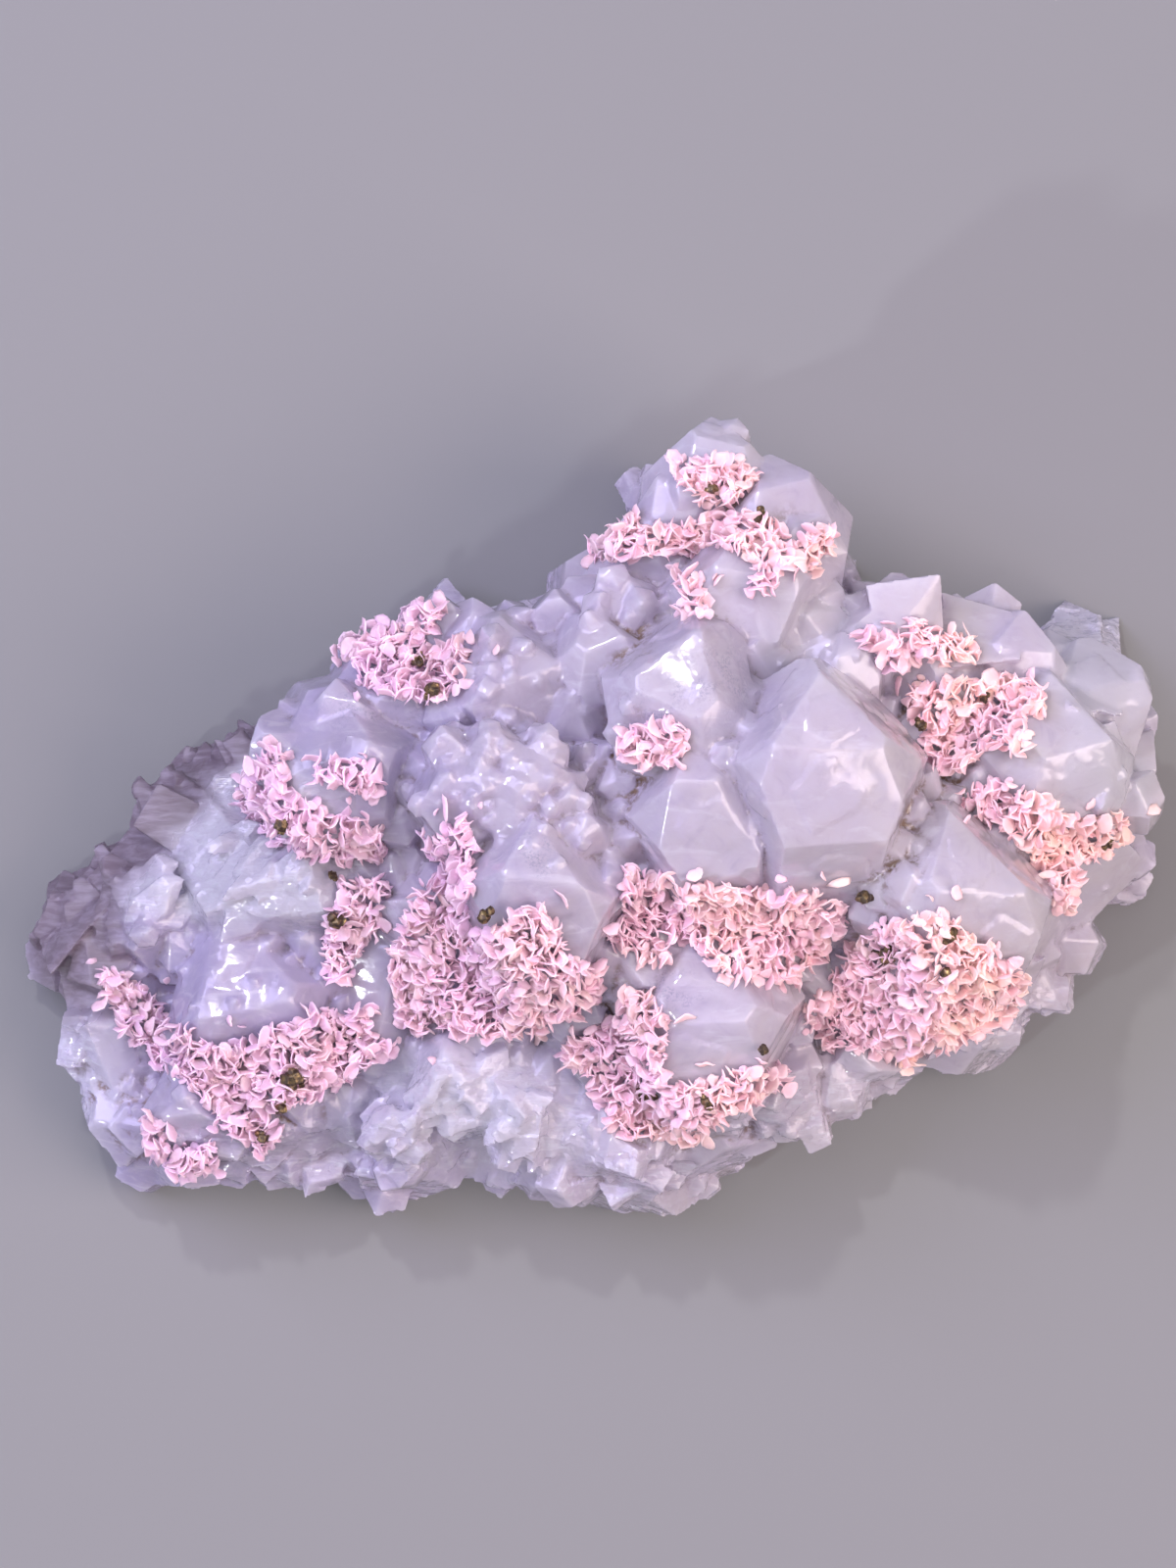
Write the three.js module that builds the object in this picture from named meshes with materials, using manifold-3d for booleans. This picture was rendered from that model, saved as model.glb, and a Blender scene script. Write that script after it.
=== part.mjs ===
// A hand-sized mineral specimen: milky quartz points grown together on a broken quartz base, with
// bladed pink rhodochrosite along their lower sides and grains of pyrite on the blades.
// It lies on its flat back. Millimetres, +Z up, origin at the middle of the back.
import * as THREE from 'three';
import { mergeVertices } from 'three/addons/utils/BufferGeometryUtils.js';
import Module from 'manifold-3d';

const wasm = await Module();
wasm.setup();

// Quartz habit
const PRISM_SIDES = 6;
const RHOMB_TILT = THREE.MathUtils.degToRad(51.8); // a tip face's normal, from the crystal's axis
const FACE_SPREAD = 0.16; // how unequal a point's six sides are, as a share of its radius
const TIP_SPREAD = 0.34; // the same for its six tip faces
const TIP_BLUNT = 0.15; // how much of a tip's end is worn off, the same way

// Broken quartz
const CHUNK_FACES = 12;
const CHUNK_SPREAD = 0.2;

const ROOT_LEVEL = [2.5, 6.5]; // the heights between which a chunk is widest
const GOLDEN_ANGLE = Math.PI * (3 - Math.sqrt(5));
const SNAP = 500; // corners are kept to 1/500 mm

// Rhodochrosite crusts and pyrite grains
const CLEARANCE = 0.3; // left between pieces that touch
const BLADE_REACH = 1.7; // how far blade tips stand above the quartz
const CRUST_CELL = 1.45; // a crust's grid
const CRUST_PROBES = 5; // heights read along each side of a cell
const LIFT_PASSES = 40;
const LONGEST_FALL = 3.2; // how far a crust's edge drops across one cell at the most
const EDGE_SLIDE = 0.4; // how far a crust's edge may leave the grid, as a share of a cell
const SKY = 100; // higher than anything in the specimen

// The broken mass everything grew on: its outline low down, and how it is rounded off above and below.
const MASS_OUTLINE = [
  [-39.5, -26.5], [-34, -29.5], [-25, -29.5], [-16, -29.5], [-6, -27.5], [0, -30.5], [5, -30], [10, -27],
  [17, -24], [25, -20], [32, -18], [37.5, -13], [41, -6], [43, 1], [42.5, 7], [39, 11], [34, 13.5], [28, 15],
  [21, 15], [19, 22], [12, 26], [5, 24], [0.5, 18], [-6, 16], [-14, 15], [-18, 12], [-20, 8], [-27, 3],
  [-32, -1], [-38, -6], [-43.5, -8], [-43, -13], [-42, -19], [-41, -24],
];
const MASS_EDGE = { rise: 2.6, reach: 1.1, body: 4.8, below: 1.2 };

// Points of quartz. tip and axis are where a point ends and the way it grew. radius and length are its size,
// and turn rolls it about its axis, in degrees. blunt is how much of its end is missing, as a share of its radius.
const POINTS = {
  crest_peak: { tip: [10.7, 32, 22], axis: [0.05, 0.88, 0.47], radius: 4.6, length: 22, turn: 0, blunt: 0.3 },
  crest_shoulder: { tip: [16.2, 28.5, 24], axis: [0.1, 0.8, 0.6], radius: 5.4, length: 24, turn: 20, blunt: 0.3 },
  crest_flank: { tip: [17.8, 24.2, 24.5], axis: [0.22, 0.72, 0.66], radius: 4.4, length: 20, turn: 40 },
  crest_left: { tip: [6.8, 28.2, 22], axis: [-0.2, 0.85, 0.45], radius: 3.2, length: 18, turn: 10, blunt: 0.25 },
  crest_left_low: { tip: [3.7, 24.2, 22], axis: [-0.35, 0.78, 0.5], radius: 2.8, length: 14, turn: 0 },
  crest_front: { tip: [13.6, 22.4, 28], axis: [0.05, 0.6, 0.8], radius: 5.8, length: 18, turn: 0, blunt: 0.3 },
  crest_foot: { tip: [1.7, 19.5, 24], axis: [-0.3, 0.75, 0.55], radius: 2.9, length: 14, turn: 25 },
  saddle_large: { tip: [1, 14.9, 27], axis: [-0.05, 0.5, 0.86], radius: 3.9, length: 18, turn: 15, blunt: 0.3 },
  saddle_small: { tip: [-2.4, 17.7, 22], axis: [-0.1, 0.65, 0.75], radius: 2.4, length: 14, turn: 0 },
  north_block: { tip: [-16.6, 12.8, 23.5], axis: [-0.12, 0.5, 0.86], radius: 5.3, length: 20, turn: 0, blunt: 0.6 },
  north_stub: { tip: [-8.6, 16.9, 21], axis: [0.1, 0.7, 0.7], radius: 2.8, length: 15, turn: 20 },
  north_stub_b: { tip: [-12, 17.7, 20], axis: [-0.05, 0.8, 0.6], radius: 2.4, length: 14, turn: 5 },
  north_round: { tip: [-6, 13.1, 27], axis: [0.02, 0.42, 0.9], radius: 5.6, length: 20, turn: 20, blunt: 0.4 },
  west_large: { tip: [-22, 7.3, 26], axis: [-0.25, 0.42, 0.87], radius: 7.3, length: 22, turn: 10, blunt: 0.4 },
  west_back: { tip: [-20.2, 10.1, 23], axis: [-0.15, 0.7, 0.7], radius: 3.6, length: 16, turn: 0 },
  west_edge: { tip: [-26.8, 6.5, 23], axis: [-0.55, 0.4, 0.74], radius: 3.4, length: 16, turn: 20 },
  middle_left: { tip: [-10.3, 4.1, 30], axis: [-0.22, 0.45, 0.86], radius: 5, length: 20, turn: 10, blunt: 0.3 },
  middle_right: { tip: [-4.2, 4.3, 30.5], axis: [0.1, 0.5, 0.86], radius: 4.6, length: 20, turn: 25, blunt: 0.3 },
  middle_bud_a: { tip: [-11.4, 6.5, 28.5], axis: [-0.2, 0.6, 0.77], radius: 2.2, length: 12, turn: 0 },
  middle_bud_b: { tip: [-7.5, 6.7, 29], axis: [0, 0.6, 0.8], radius: 2.3, length: 12, turn: 15 },
  middle_bud_c: { tip: [-2.8, 5.9, 29], axis: [0.15, 0.6, 0.8], radius: 2.2, length: 12, turn: 30 },
  middle_bud_d: { tip: [-0.6, 1.6, 29.5], axis: [0.35, 0.4, 0.85], radius: 2.5, length: 12, turn: 0 },
  middle_bud_e: { tip: [0.7, -1, 29.5], axis: [0.35, 0.3, 0.88], radius: 2.3, length: 12, turn: 20 },
  heart: { tip: [-3.9, -3.2, 33], axis: [0, 0.38, 0.92], radius: 6.3, length: 22, turn: 0, blunt: 0.3 },
  centre_north: { tip: [7.2, 11.6, 34], axis: [-0.08, 0.35, 0.93], radius: 6, length: 22, turn: -20, blunt: 0.4 },
  centre_large: { tip: [19.6, 9.2, 36], axis: [0.08, 0.55, 0.83], radius: 7.3, length: 26, turn: 6, blunt: 0.35 },
  centre_low: { tip: [8.4, 3.8, 33], axis: [-0.12, 0.48, 0.87], radius: 5.6, length: 22, turn: 10, blunt: 0.2 },
  east_knob_a: { tip: [24, 16.6, 24], axis: [0.1, 0.6, 0.8], radius: 2.8, length: 14, turn: 0 },
  east_knob_b: { tip: [21.5, 13.7, 25], axis: [0, 0.6, 0.8], radius: 3, length: 14, turn: 20 },
  east_block: { tip: [26, 19.9, 20], axis: [0.08, 0.85, 0.5], radius: 3.6, length: 16, turn: 0, blunt: 0.55 },
  east_tall: { tip: [31.6, 17.3, 21], axis: [0.15, 0.8, 0.6], radius: 4.7, length: 18, turn: 15, blunt: 0.5 },
  east_slope: { tip: [36.6, 15.6, 21], axis: [0.32, 0.62, 0.72], radius: 3.9, length: 18, turn: 0, blunt: 0.4 },
  east_plate: { tip: [43.3, 14.6, 17], axis: [0.22, 0.85, 0.47], radius: 4.4, length: 16, turn: 20, blunt: 0.6 },
  east_large: { tip: [40, 8.2, 25], axis: [0.3, 0.42, 0.86], radius: 6.6, length: 20, turn: 10, blunt: 0.35 },
  east_edge: { tip: [44.2, 3.3, 20], axis: [0.7, 0.15, 0.7], radius: 3.2, length: 16, turn: 0 },
  southeast_large: { tip: [31, -2.9, 31], axis: [0.15, 0.45, 0.88], radius: 7, length: 22, turn: 10, blunt: 0.35 },
  southeast_plate_a: { tip: [40.2, -6.3, 16], axis: [0.62, 0.15, 0.77], radius: 4, length: 14, turn: 0 },
  southeast_plate_b: { tip: [38.5, -11.9, 15], axis: [0.6, -0.1, 0.79], radius: 4.4, length: 14, turn: 20 },
  south_large: { tip: [10, -13.4, 28], axis: [0, 0.34, 0.94], radius: 7, length: 22, turn: 0, blunt: 0.45 },
  south_point: { tip: [2.6, -28.5, 17], axis: [0.1, -0.35, 0.92], radius: 4, length: 15, turn: 15 },
  southwest_point: { tip: [-11.5, -21.3, 19], axis: [-0.2, 0.2, 0.94], radius: 3.9, length: 15, turn: 10 },
  southwest_stub: { tip: [-16.4, -26.1, 17], axis: [-0.1, 0.1, 0.97], radius: 2, length: 10, turn: 0 },
  corner_point: { tip: [-32.9, -24.2, 16], axis: [-0.15, 0.1, 0.97], radius: 4, length: 14, turn: 0 },
  west_face: { tip: [-28.6, -13, 20], axis: [-0.1, 0.28, 0.95], radius: 6.6, length: 18, turn: 15, blunt: 0.5 },
};

// Broken and massive quartz, as chunks. Each has a middle, a half-size along X and Y, and the height of its top.
const CHUNKS = {
  base_west: { at: [-21.4, -11], size: [18.5, 11.5], top: 15 },
  base_centre: { at: [3.4, -2.7], size: [24, 19], top: 22 },
  base_east: { at: [26.6, -2.7], size: [17, 15.5], top: 19 },
  base_north: { at: [11.4, 14.9], size: [9.5, 11], top: 20 },
  fill_middle: { at: [-8.0, -10.0], size: [9.0, 9.0], top: 24.5 },
  fill_centre: { at: [12.5, -4.0], size: [11.0, 10.0], top: 27.5 },
  fill_south: { at: [4.0, -19.0], size: [7.5, 7.5], top: 20.5 },
  fill_southeast: { at: [27.0, -12.5], size: [9.5, 7.0], top: 22.0 },
  fill_east: { at: [33.0, 5.0], size: [9.5, 9.0], top: 20.5 },
  fill_east_ledge: { at: [38.5, -3.5], size: [6.0, 6.5], top: 17.5 },
  fill_west: { at: [-20.0, -3.0], size: [8.5, 9.0], top: 21.0 },
  fill_southwest: { at: [-25.0, -20.5], size: [10.5, 6.5], top: 14.5 },
  fill_north: { at: [-13.5, 9], size: [6.5, 4.8], top: 20.5 },
  fill_crest: { at: [10, 19], size: [8.5, 7.2], top: 22.5 },
  back_ear: { at: [-43, -9.8], size: [2.8, 3.8], top: 8 },
  back_plate_a: { at: [-37.5, -8], size: [4.2, 3.9], top: 9 },
  back_plate_b: { at: [-32.5, -3.9], size: [3.9, 4.4], top: 10 },
  back_plate_c: { at: [-28.8, 0.7], size: [3.9, 4.4], top: 11 },
  break_slope: { at: [-27.3, -6], size: [8, 6.8], top: 18 },
  break_low: { at: [-36, -9], size: [5.2, 5], top: 14.5 },
  break_inner: { at: [-23, -6.3], size: [5, 6], top: 21 },
  white_upper: { at: [-39.7, -12.9], size: [3, 4.4], top: 12.5 },
  white_edge: { at: [-39.3, -18.9], size: [3.4, 5], top: 12 },
  white_lower: { at: [-38.2, -25.1], size: [3.8, 4.4], top: 10.5 },
  south_skirt_a: { at: [-33.4, -28.3], size: [4.6, 3.4], top: 11 },
  south_skirt_b: { at: [-24.6, -26.6], size: [7.5, 4.2], top: 13.5 },
  south_skirt_c: { at: [-14.6, -28.7], size: [4, 3], top: 14 },
  glassy_break: { at: [-6, -23.9], size: [6, 5], top: 19.5 },
  south_skirt_d: { at: [-2.7, -29.5], size: [3.4, 3], top: 15 },
  south_skirt_e: { at: [4.2, -30.3], size: [3.6, 3.2], top: 13.5 },
  south_skirt_f: { at: [10, -26.7], size: [4, 3.4], top: 15 },
  south_skirt_g: { at: [15.8, -23.1], size: [5.6, 4.2], top: 16.5 },
  south_skirt_h: { at: [22.6, -20.7], size: [4.6, 2.8], top: 14.5 },
  east_skirt_a: { at: [30.6, -17.9], size: [6, 3.6], top: 15.5 },
  east_skirt_b: { at: [36.2, -13.2], size: [3.6, 4.4], top: 13.5 },
  east_skirt_c: { at: [40.9, -4], size: [3, 4.4], top: 15 },
  east_skirt_d: { at: [43.4, 2.9], size: [3, 5], top: 17 },
  east_skirt_e: { at: [40.2, 10.1], size: [4, 4.4], top: 15.5 },
  north_skirt: { at: [-11.8, 10.6], size: [8.5, 5.6], top: 17 },
};

// Crusts of bladed rhodochrosite. Each is one or more strokes, and a stroke is a chain of discs [x, y, radius].
const CRUSTS = {
  crest_tuft: [
    [[8.5, 26.9, 1.1], [10.5, 26.7, 1.9], [12.4, 27.0, 1.1]],
  ],
  crest_band: [
    [[2.5, 22.1, 1.9], [4.6, 21.9, 1.3], [7.4, 21.8, 1.0], [10.6, 22.9, 1.6], [13.4, 22.5, 1.4], [15.0, 20.5, 1.1], [14.6, 18.1, 0.6]],
    [[15.0, 20.1, 1.0], [17.2, 20.6, 1.0], [19.3, 21.8, 0.6]],
  ],
  crest_drip: [
    [[8.1, 19.8, 0.6], [8.4, 18.1, 0.6], [9.0, 16.1, 0.8]],
  ],
  north: [
    [[-18.0, 13.7, 1.8], [-15.4, 14.1, 2.4], [-15.8, 11.5, 2.1], [-12.2, 10.9, 2.1], [-10.3, 12.6, 1.1]],
    [[-14.6, 14.9, 1.3], [-12.6, 15.8, 0.8]],
  ],
  centre_tuft: [
    [[3.8, 5.3, 1.1], [6.0, 5.5, 1.8]],
  ],
  west_ledge: [
    [[-27.1, 2.1, 1.1], [-25.0, 3.3, 1.4]],
    [[-26.8, 0.5, 1.3], [-24.6, -1.0, 1.8], [-21.4, -1.8, 1.9], [-17.8, -2.9, 1.6]],
    [[-25.4, 2.9, 1.1], [-25.8, 0.1, 1.1]],
  ],
  west_rim: [
    [[-21.8, 3.3, 0.8], [-19.8, 3.4, 0.8], [-17.5, 2.1, 1.0]],
  ],
  west_column: [
    [[-15.8, -2.7, 1.0], [-17.8, -5.9, 1.8], [-18.3, -8.3, 1.8], [-19.8, -11.1, 1.4], [-20.2, -12.7, 1.0]],
    [[-15.4, 3.3, 0.6], [-15.1, -0.3, 0.7], [-15.6, -2.7, 0.8]],
  ],
  middle_band: [
    [[-11.8, -3.1, 0.8], [-9.8, -1.9, 0.8], [-9.7, -5.9, 1.1], [-12.6, -8.7, 1.9], [-13.4, -11.9, 2.6], [-12.6, -15.5, 2.6]],
    [[-12.6, -11.9, 2.7], [-7.8, -12.7, 2.9], [-3.8, -12.7, 2.6], [0.2, -13.9, 1.3]],
    [[-4.2, -9.5, 1.6], [-3.0, -12.7, 2.2]],
    [[-12.6, -15.5, 2.4], [-6.2, -16.7, 1.9], [-1.4, -15.5, 1.1]],
  ],
  lower_left: [
    [[-38.8, -14.7, 1.0], [-37.4, -17.1, 1.6], [-34.6, -19.5, 1.4], [-30.6, -21.5, 2.4], [-26.6, -21.9, 2.9], [-21.4, -19.9, 2.9], [-17.0, -18.3, 1.8]],
    [[-29.0, -24.3, 1.8], [-26.8, -26.7, 1.1]],
  ],
  centre_band: [
    [[4.2, -6.3, 1.3], [7.4, -7.9, 2.1], [12.2, -8.7, 2.7], [17.0, -9.5, 3.0], [19.8, -8.7, 1.3]],
    [[11.8, -11.5, 1.9], [16.2, -12.7, 1.6]],
    [[3.4, -10.3, 1.1], [5.7, -11.4, 1.0]],
  ],
  southeast_band: [
    [[21.8, -12.7, 1.6], [24.6, -11.5, 2.7], [28.2, -11.1, 2.6], [32.2, -13.1, 1.6]],
    [[20.2, -17.1, 1.8], [24.6, -16.3, 2.9], [29.0, -16.3, 3.0], [33.4, -15.1, 2.1], [35.4, -13.9, 0.8]],
    [[22.6, -18.7, 1.3], [26.6, -19.5, 1.1]],
  ],
  south_collar: [
    [[-2.8, -17.8, 1.1], [0.2, -19.1, 1.9], [3.4, -20.3, 2.9], [4.2, -23.9, 2.7], [8.2, -25.1, 1.9], [11.8, -22.7, 1.4], [15.4, -21.9, 1.0]],
    [[4.6, -15.5, 1.0], [5.0, -17.9, 1.6]],
  ],
  corner: [
    [[-35.9, -25.9, 0.6], [-34.6, -28.7, 0.8], [-33.0, -29.8, 0.8], [-30.0, -27.4, 0.6]],
  ],
  east_spray: [
    [[23.3, 13.7, 0.6], [25.2, 12.6, 1.1], [27.3, 13.4, 1.4], [30.6, 13.0, 1.0]],
  ],
  east_wedge: [
    [[27.8, 9.7, 1.0], [29.4, 8.3, 2.1], [32.2, 8.1, 2.6], [35.8, 9.1, 1.4]],
    [[29.4, 8.1, 2.1], [29.8, 4.6, 1.4]],
    [[32.2, 6.9, 2.1], [35.0, 6.2, 0.8]],
  ],
  east_ledge: [
    [[31.8, 1.1, 0.8], [35.0, 0.1, 1.6], [38.6, -2.1, 1.8], [42.2, -2.3, 1.6], [44.2, -1.5, 0.8]],
    [[39.0, -2.7, 1.6], [39.0, -6.3, 1.4]],
  ],
};

// Grains of pyrite, each by its place and how far across it is.
const GRAINS = {
  crest: { at: [10.3, 25.9], size: 0.8 },
  crest_band: { at: [14.2, 23.7], size: 0.96 },
  north_a: { at: [-13.4, 12.2], size: 1.1 },
  north_b: { at: [-12.3, 9.7], size: 0.96 },
  west_ledge: { at: [-24.5, -1.3], size: 1.1 },
  column_upper: { at: [-20.6, -5.4], size: 0.64 },
  column_lower: { at: [-20.2, -9.1], size: 1.1 },
  middle: { at: [-7.9, -8.6], size: 0.96 },
  centre: { at: [22.6, -7.1], size: 0.8 },
  east_a: { at: [27.4, 6.8], size: 0.8 },
  east_b: { at: [32.4, 9], size: 0.8 },
  east_ledge: { at: [43.2, -2.8], size: 0.8 },
  south_east_a: { at: [24.6, -11.8], size: 1.4 },
  south_east_b: { at: [29.2, -10.1], size: 0.96 },
  south_east_c: { at: [29, -13], size: 0.8 },
  collar_a: { at: [5.2, -23.4], size: 0.96 },
  collar_b: { at: [10, -23.7], size: 0.8 },
  collar_c: { at: [14.6, -19.4], size: 0.64 },
  lower_left_a: { at: [-23.8, -22], size: 1.3 },
  lower_left_b: { at: [-25, -24.6], size: 0.96 },
  lower_left_c: { at: [-26.6, -27.2], size: 0.96 },
};

const FINISHES = {
  milky_quartz: { color: 0xdcd8e0, roughness: 0.25 },
  pink_rhodochrosite: { color: 0xe0a89c, roughness: 0.45 },
  brassy_pyrite: { color: 0x6e6048, roughness: 0.35, metalness: 0.9 },
};
const material = Object.fromEntries(Object.entries(FINISHES).map(([name, look]) => {
  const made = new THREE.MeshStandardMaterial(look);
  made.name = name;
  return [name, made];
}));

// The same small run of chance for the same name, every time.
function chanceFor(name) {
  let state = [...name].reduce((sum, letter) => Math.imul(sum ^ letter.charCodeAt(0), 16777619) >>> 0, 2166136261);
  return () => {
    state = (state + 0x6d2b79f5) >>> 0;
    let mixed = Math.imul(state ^ (state >>> 15), state | 1);
    mixed ^= mixed + Math.imul(mixed ^ (mixed >>> 7), mixed | 61);
    return ((mixed ^ (mixed >>> 14)) >>> 0) / 4294967296;
  };
}

// A closed convex body from the planes that bound it, each an outward unit normal and a distance from the middle.
function convexBody(planes) {
  const corners = [];
  for (let i = 0; i < planes.length; i += 1) {
    for (let j = i + 1; j < planes.length; j += 1) {
      for (let k = j + 1; k < planes.length; k += 1) {
        const [a, b, c] = [planes[i], planes[j], planes[k]];
        const bc = new THREE.Vector3().crossVectors(b.normal, c.normal);
        const size = a.normal.dot(bc);
        if (Math.abs(size) < 1e-6) continue;
        const corner = bc.multiplyScalar(a.distance)
          .addScaledVector(new THREE.Vector3().crossVectors(c.normal, a.normal), b.distance)
          .addScaledVector(new THREE.Vector3().crossVectors(a.normal, b.normal), c.distance)
          .divideScalar(size);
        const inside = planes.every((plane) => plane.normal.dot(corner) <= plane.distance + 1e-6);
        if (inside && !corners.some((other) => other.distanceTo(corner) < 1e-4)) corners.push(corner);
      }
    }
  }
  const positions = [];
  for (const { normal, distance } of planes) {
    const face = corners.filter((corner) => Math.abs(normal.dot(corner) - distance) < 2e-4);
    if (face.length < 3) continue;
    const middle = face.reduce((sum, corner) => sum.add(corner), new THREE.Vector3()).divideScalar(face.length);
    const right = new THREE.Vector3().subVectors(face[0], middle).normalize();
    const up = new THREE.Vector3().crossVectors(normal, right);
    const turn = (corner) => {
      const arm = new THREE.Vector3().subVectors(corner, middle);
      return Math.atan2(arm.dot(up), arm.dot(right));
    };
    const ring = [...face].sort((a, b) => turn(a) - turn(b));
    for (let i = 1; i + 1 < ring.length; i += 1) {
      for (const corner of [ring[0], ring[i], ring[i + 1]]) positions.push(corner.x, corner.y, corner.z);
    }
  }
  const geometry = new THREE.BufferGeometry();
  geometry.setAttribute('position', new THREE.Float32BufferAttribute(positions, 3));
  return geometry;
}

// One quartz point: six sides, six tip faces of unequal size, and a root that stays buried.
function quartzPoint(name, { tip, axis, radius, length, turn, blunt = TIP_BLUNT }) {
  const chance = chanceFor(name);
  const planes = [];
  const roll = THREE.MathUtils.degToRad(turn - 90); // turn 0 sets a large tip face toward -Y
  for (let side = 0; side < PRISM_SIDES; side += 1) {
    const around = roll + (side * Math.PI) / 3;
    const out = new THREE.Vector3(Math.cos(around), Math.sin(around), 0);
    const uneven = 1 + FACE_SPREAD * (2 * chance() - 1);
    planes.push({ normal: out, distance: radius * uneven });
    const tipNormal = out.clone().multiplyScalar(Math.sin(RHOMB_TILT));
    tipNormal.z = Math.cos(RHOMB_TILT);
    const setBack = side % 2 === 0 ? 0.3 * chance() : 0.4 + 0.6 * chance(); // every other tip face is small
    planes.push({ normal: tipNormal, distance: radius * TIP_SPREAD * setBack });
  }
  const end = new THREE.Vector3(0.4 * (chance() - 0.5), 0.4 * (chance() - 0.7), 1).normalize();
  planes.push({ normal: end, distance: -blunt * radius });
  planes.push({ normal: new THREE.Vector3(0, 0, -1), distance: length });
  const grown = convexBody(planes);
  const toAxis = new THREE.Quaternion().setFromUnitVectors(
    new THREE.Vector3(0, 0, 1),
    new THREE.Vector3(...axis).normalize(),
  );
  return grown.applyQuaternion(toAxis).translate(...tip);
}

// One chunk of broken quartz: flat breaks all round an egg that the cut back passes through.
function quartzChunk(name, { at, size, top }) {
  const chance = chanceFor(name);
  const level = THREE.MathUtils.lerp(...ROOT_LEVEL, chance());
  const start = 2 * Math.PI * chance();
  const half = new THREE.Vector3(size[0], size[1], top - level);
  const planes = [];
  for (let face = 0; face < CHUNK_FACES; face += 1) {
    const height = 1 - (2 * (face + 0.5)) / CHUNK_FACES;
    const around = start + face * GOLDEN_ANGLE + 0.7 * chance();
    const reach = Math.sqrt(1 - height * height);
    const normal = new THREE.Vector3(reach * Math.cos(around), reach * Math.sin(around), height);
    const distance = normal.clone().multiply(half).length() * (0.98 - CHUNK_SPREAD * chance());
    planes.push({ normal, distance });
  }
  return convexBody(planes).translate(at[0], at[1], level);
}

function brokenMass() {
  const outline = new THREE.Shape(MASS_OUTLINE.map(([x, y]) => new THREE.Vector2(x, y)));
  const mass = new THREE.ExtrudeGeometry(outline, {
    depth: MASS_EDGE.body,
    bevelThickness: MASS_EDGE.rise,
    bevelSize: MASS_EDGE.reach,
    bevelSegments: 1,
  });
  return mass.translate(0, 0, MASS_EDGE.rise - MASS_EDGE.below);
}

function toSolid(geometry) {
  const flat = geometry.clone();
  flat.deleteAttribute('normal');
  flat.deleteAttribute('uv');
  const merged = mergeVertices(flat, 1e-4);
  const solid = new wasm.Manifold(new wasm.Mesh({
    numProp: 3,
    vertProperties: Float32Array.from(merged.attributes.position.array),
    triVerts: Uint32Array.from(merged.index.array),
  }));
  return solid;
}

// The outer skin alone of a solid, its corners snapped to a fine grid and any sliver that closes up left out.
function outerSkin(solid) {
  const mesh = solid.getMesh();
  const keyOf = new Map();
  const points = [];
  const cornerOf = [];
  for (let i = 0; i < mesh.vertProperties.length; i += mesh.numProp) {
    const at = [0, 1, 2].map((axis) => Math.round(mesh.vertProperties[i + axis] * SNAP) / SNAP);
    const key = at.join();
    if (!keyOf.has(key)) {
      keyOf.set(key, points.length);
      points.push(at);
    }
    cornerOf.push(keyOf.get(key));
  }
  const triangles = [];
  for (let i = 0; i < mesh.triVerts.length; i += 3) {
    const [a, b, c] = [0, 1, 2].map((corner) => cornerOf[mesh.triVerts[i + corner]]);
    if (a !== b && b !== c && c !== a) triangles.push([a, b, c]);
  }
  // Bodies are told apart by the corners their triangles share.
  const owner = points.map((_, index) => index);
  const rootOf = (index) => {
    let at = index;
    while (owner[at] !== at) at = owner[at];
    owner[index] = at;
    return at;
  };
  for (const [a, b, c] of triangles) {
    owner[rootOf(b)] = rootOf(a);
    owner[rootOf(c)] = rootOf(a);
  }
  const volumes = new Map();
  for (const [a, b, c] of triangles) {
    const [pa, pb, pc] = [a, b, c].map((index) => new THREE.Vector3(...points[index]));
    const key = rootOf(a);
    volumes.set(key, (volumes.get(key) ?? 0) + pa.dot(pb.cross(pc)) / 6);
  }
  const [biggest] = [...volumes].sort((one, other) => other[1] - one[1])[0];
  const geometry = new THREE.BufferGeometry();
  geometry.setAttribute('position', new THREE.Float32BufferAttribute(points.flat(), 3));
  geometry.setIndex(triangles.filter(([a]) => rootOf(a) === biggest).flat());
  return geometry.toNonIndexed();
}

function addMesh(group, name, geometry, finish) {
  geometry.computeVertexNormals();
  const mesh = new THREE.Mesh(geometry, material[finish]);
  mesh.name = name;
  group.add(mesh);
  return mesh;
}

// Every point and chunk is one intergrown solid, cut flat at the back.
function growQuartz() {
  let cluster = null;
  const add = (geometry) => {
    const solid = toSolid(geometry);
    cluster = cluster ? cluster.add(solid) : solid;
  };
  add(brokenMass());
  for (const [name, chunk] of Object.entries(CHUNKS)) add(quartzChunk(name, chunk));
  for (const [name, point] of Object.entries(POINTS)) add(quartzPoint(name, point));
  const below = new THREE.BoxGeometry(2 * SKY, 2 * SKY, SKY).translate(0, 0, -SKY / 2);
  return outerSkin(cluster.subtract(toSolid(below)));
}

// How high the topmost surface of some meshes is above a place.
function heightReader(meshes) {
  const ray = new THREE.Raycaster();
  const down = new THREE.Vector3(0, 0, -1);
  return (x, y) => {
    ray.set(new THREE.Vector3(x, y, SKY), down);
    const [hit] = ray.intersectObjects(meshes, false);
    return hit ? hit.point.z : 0;
  };
}

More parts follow.
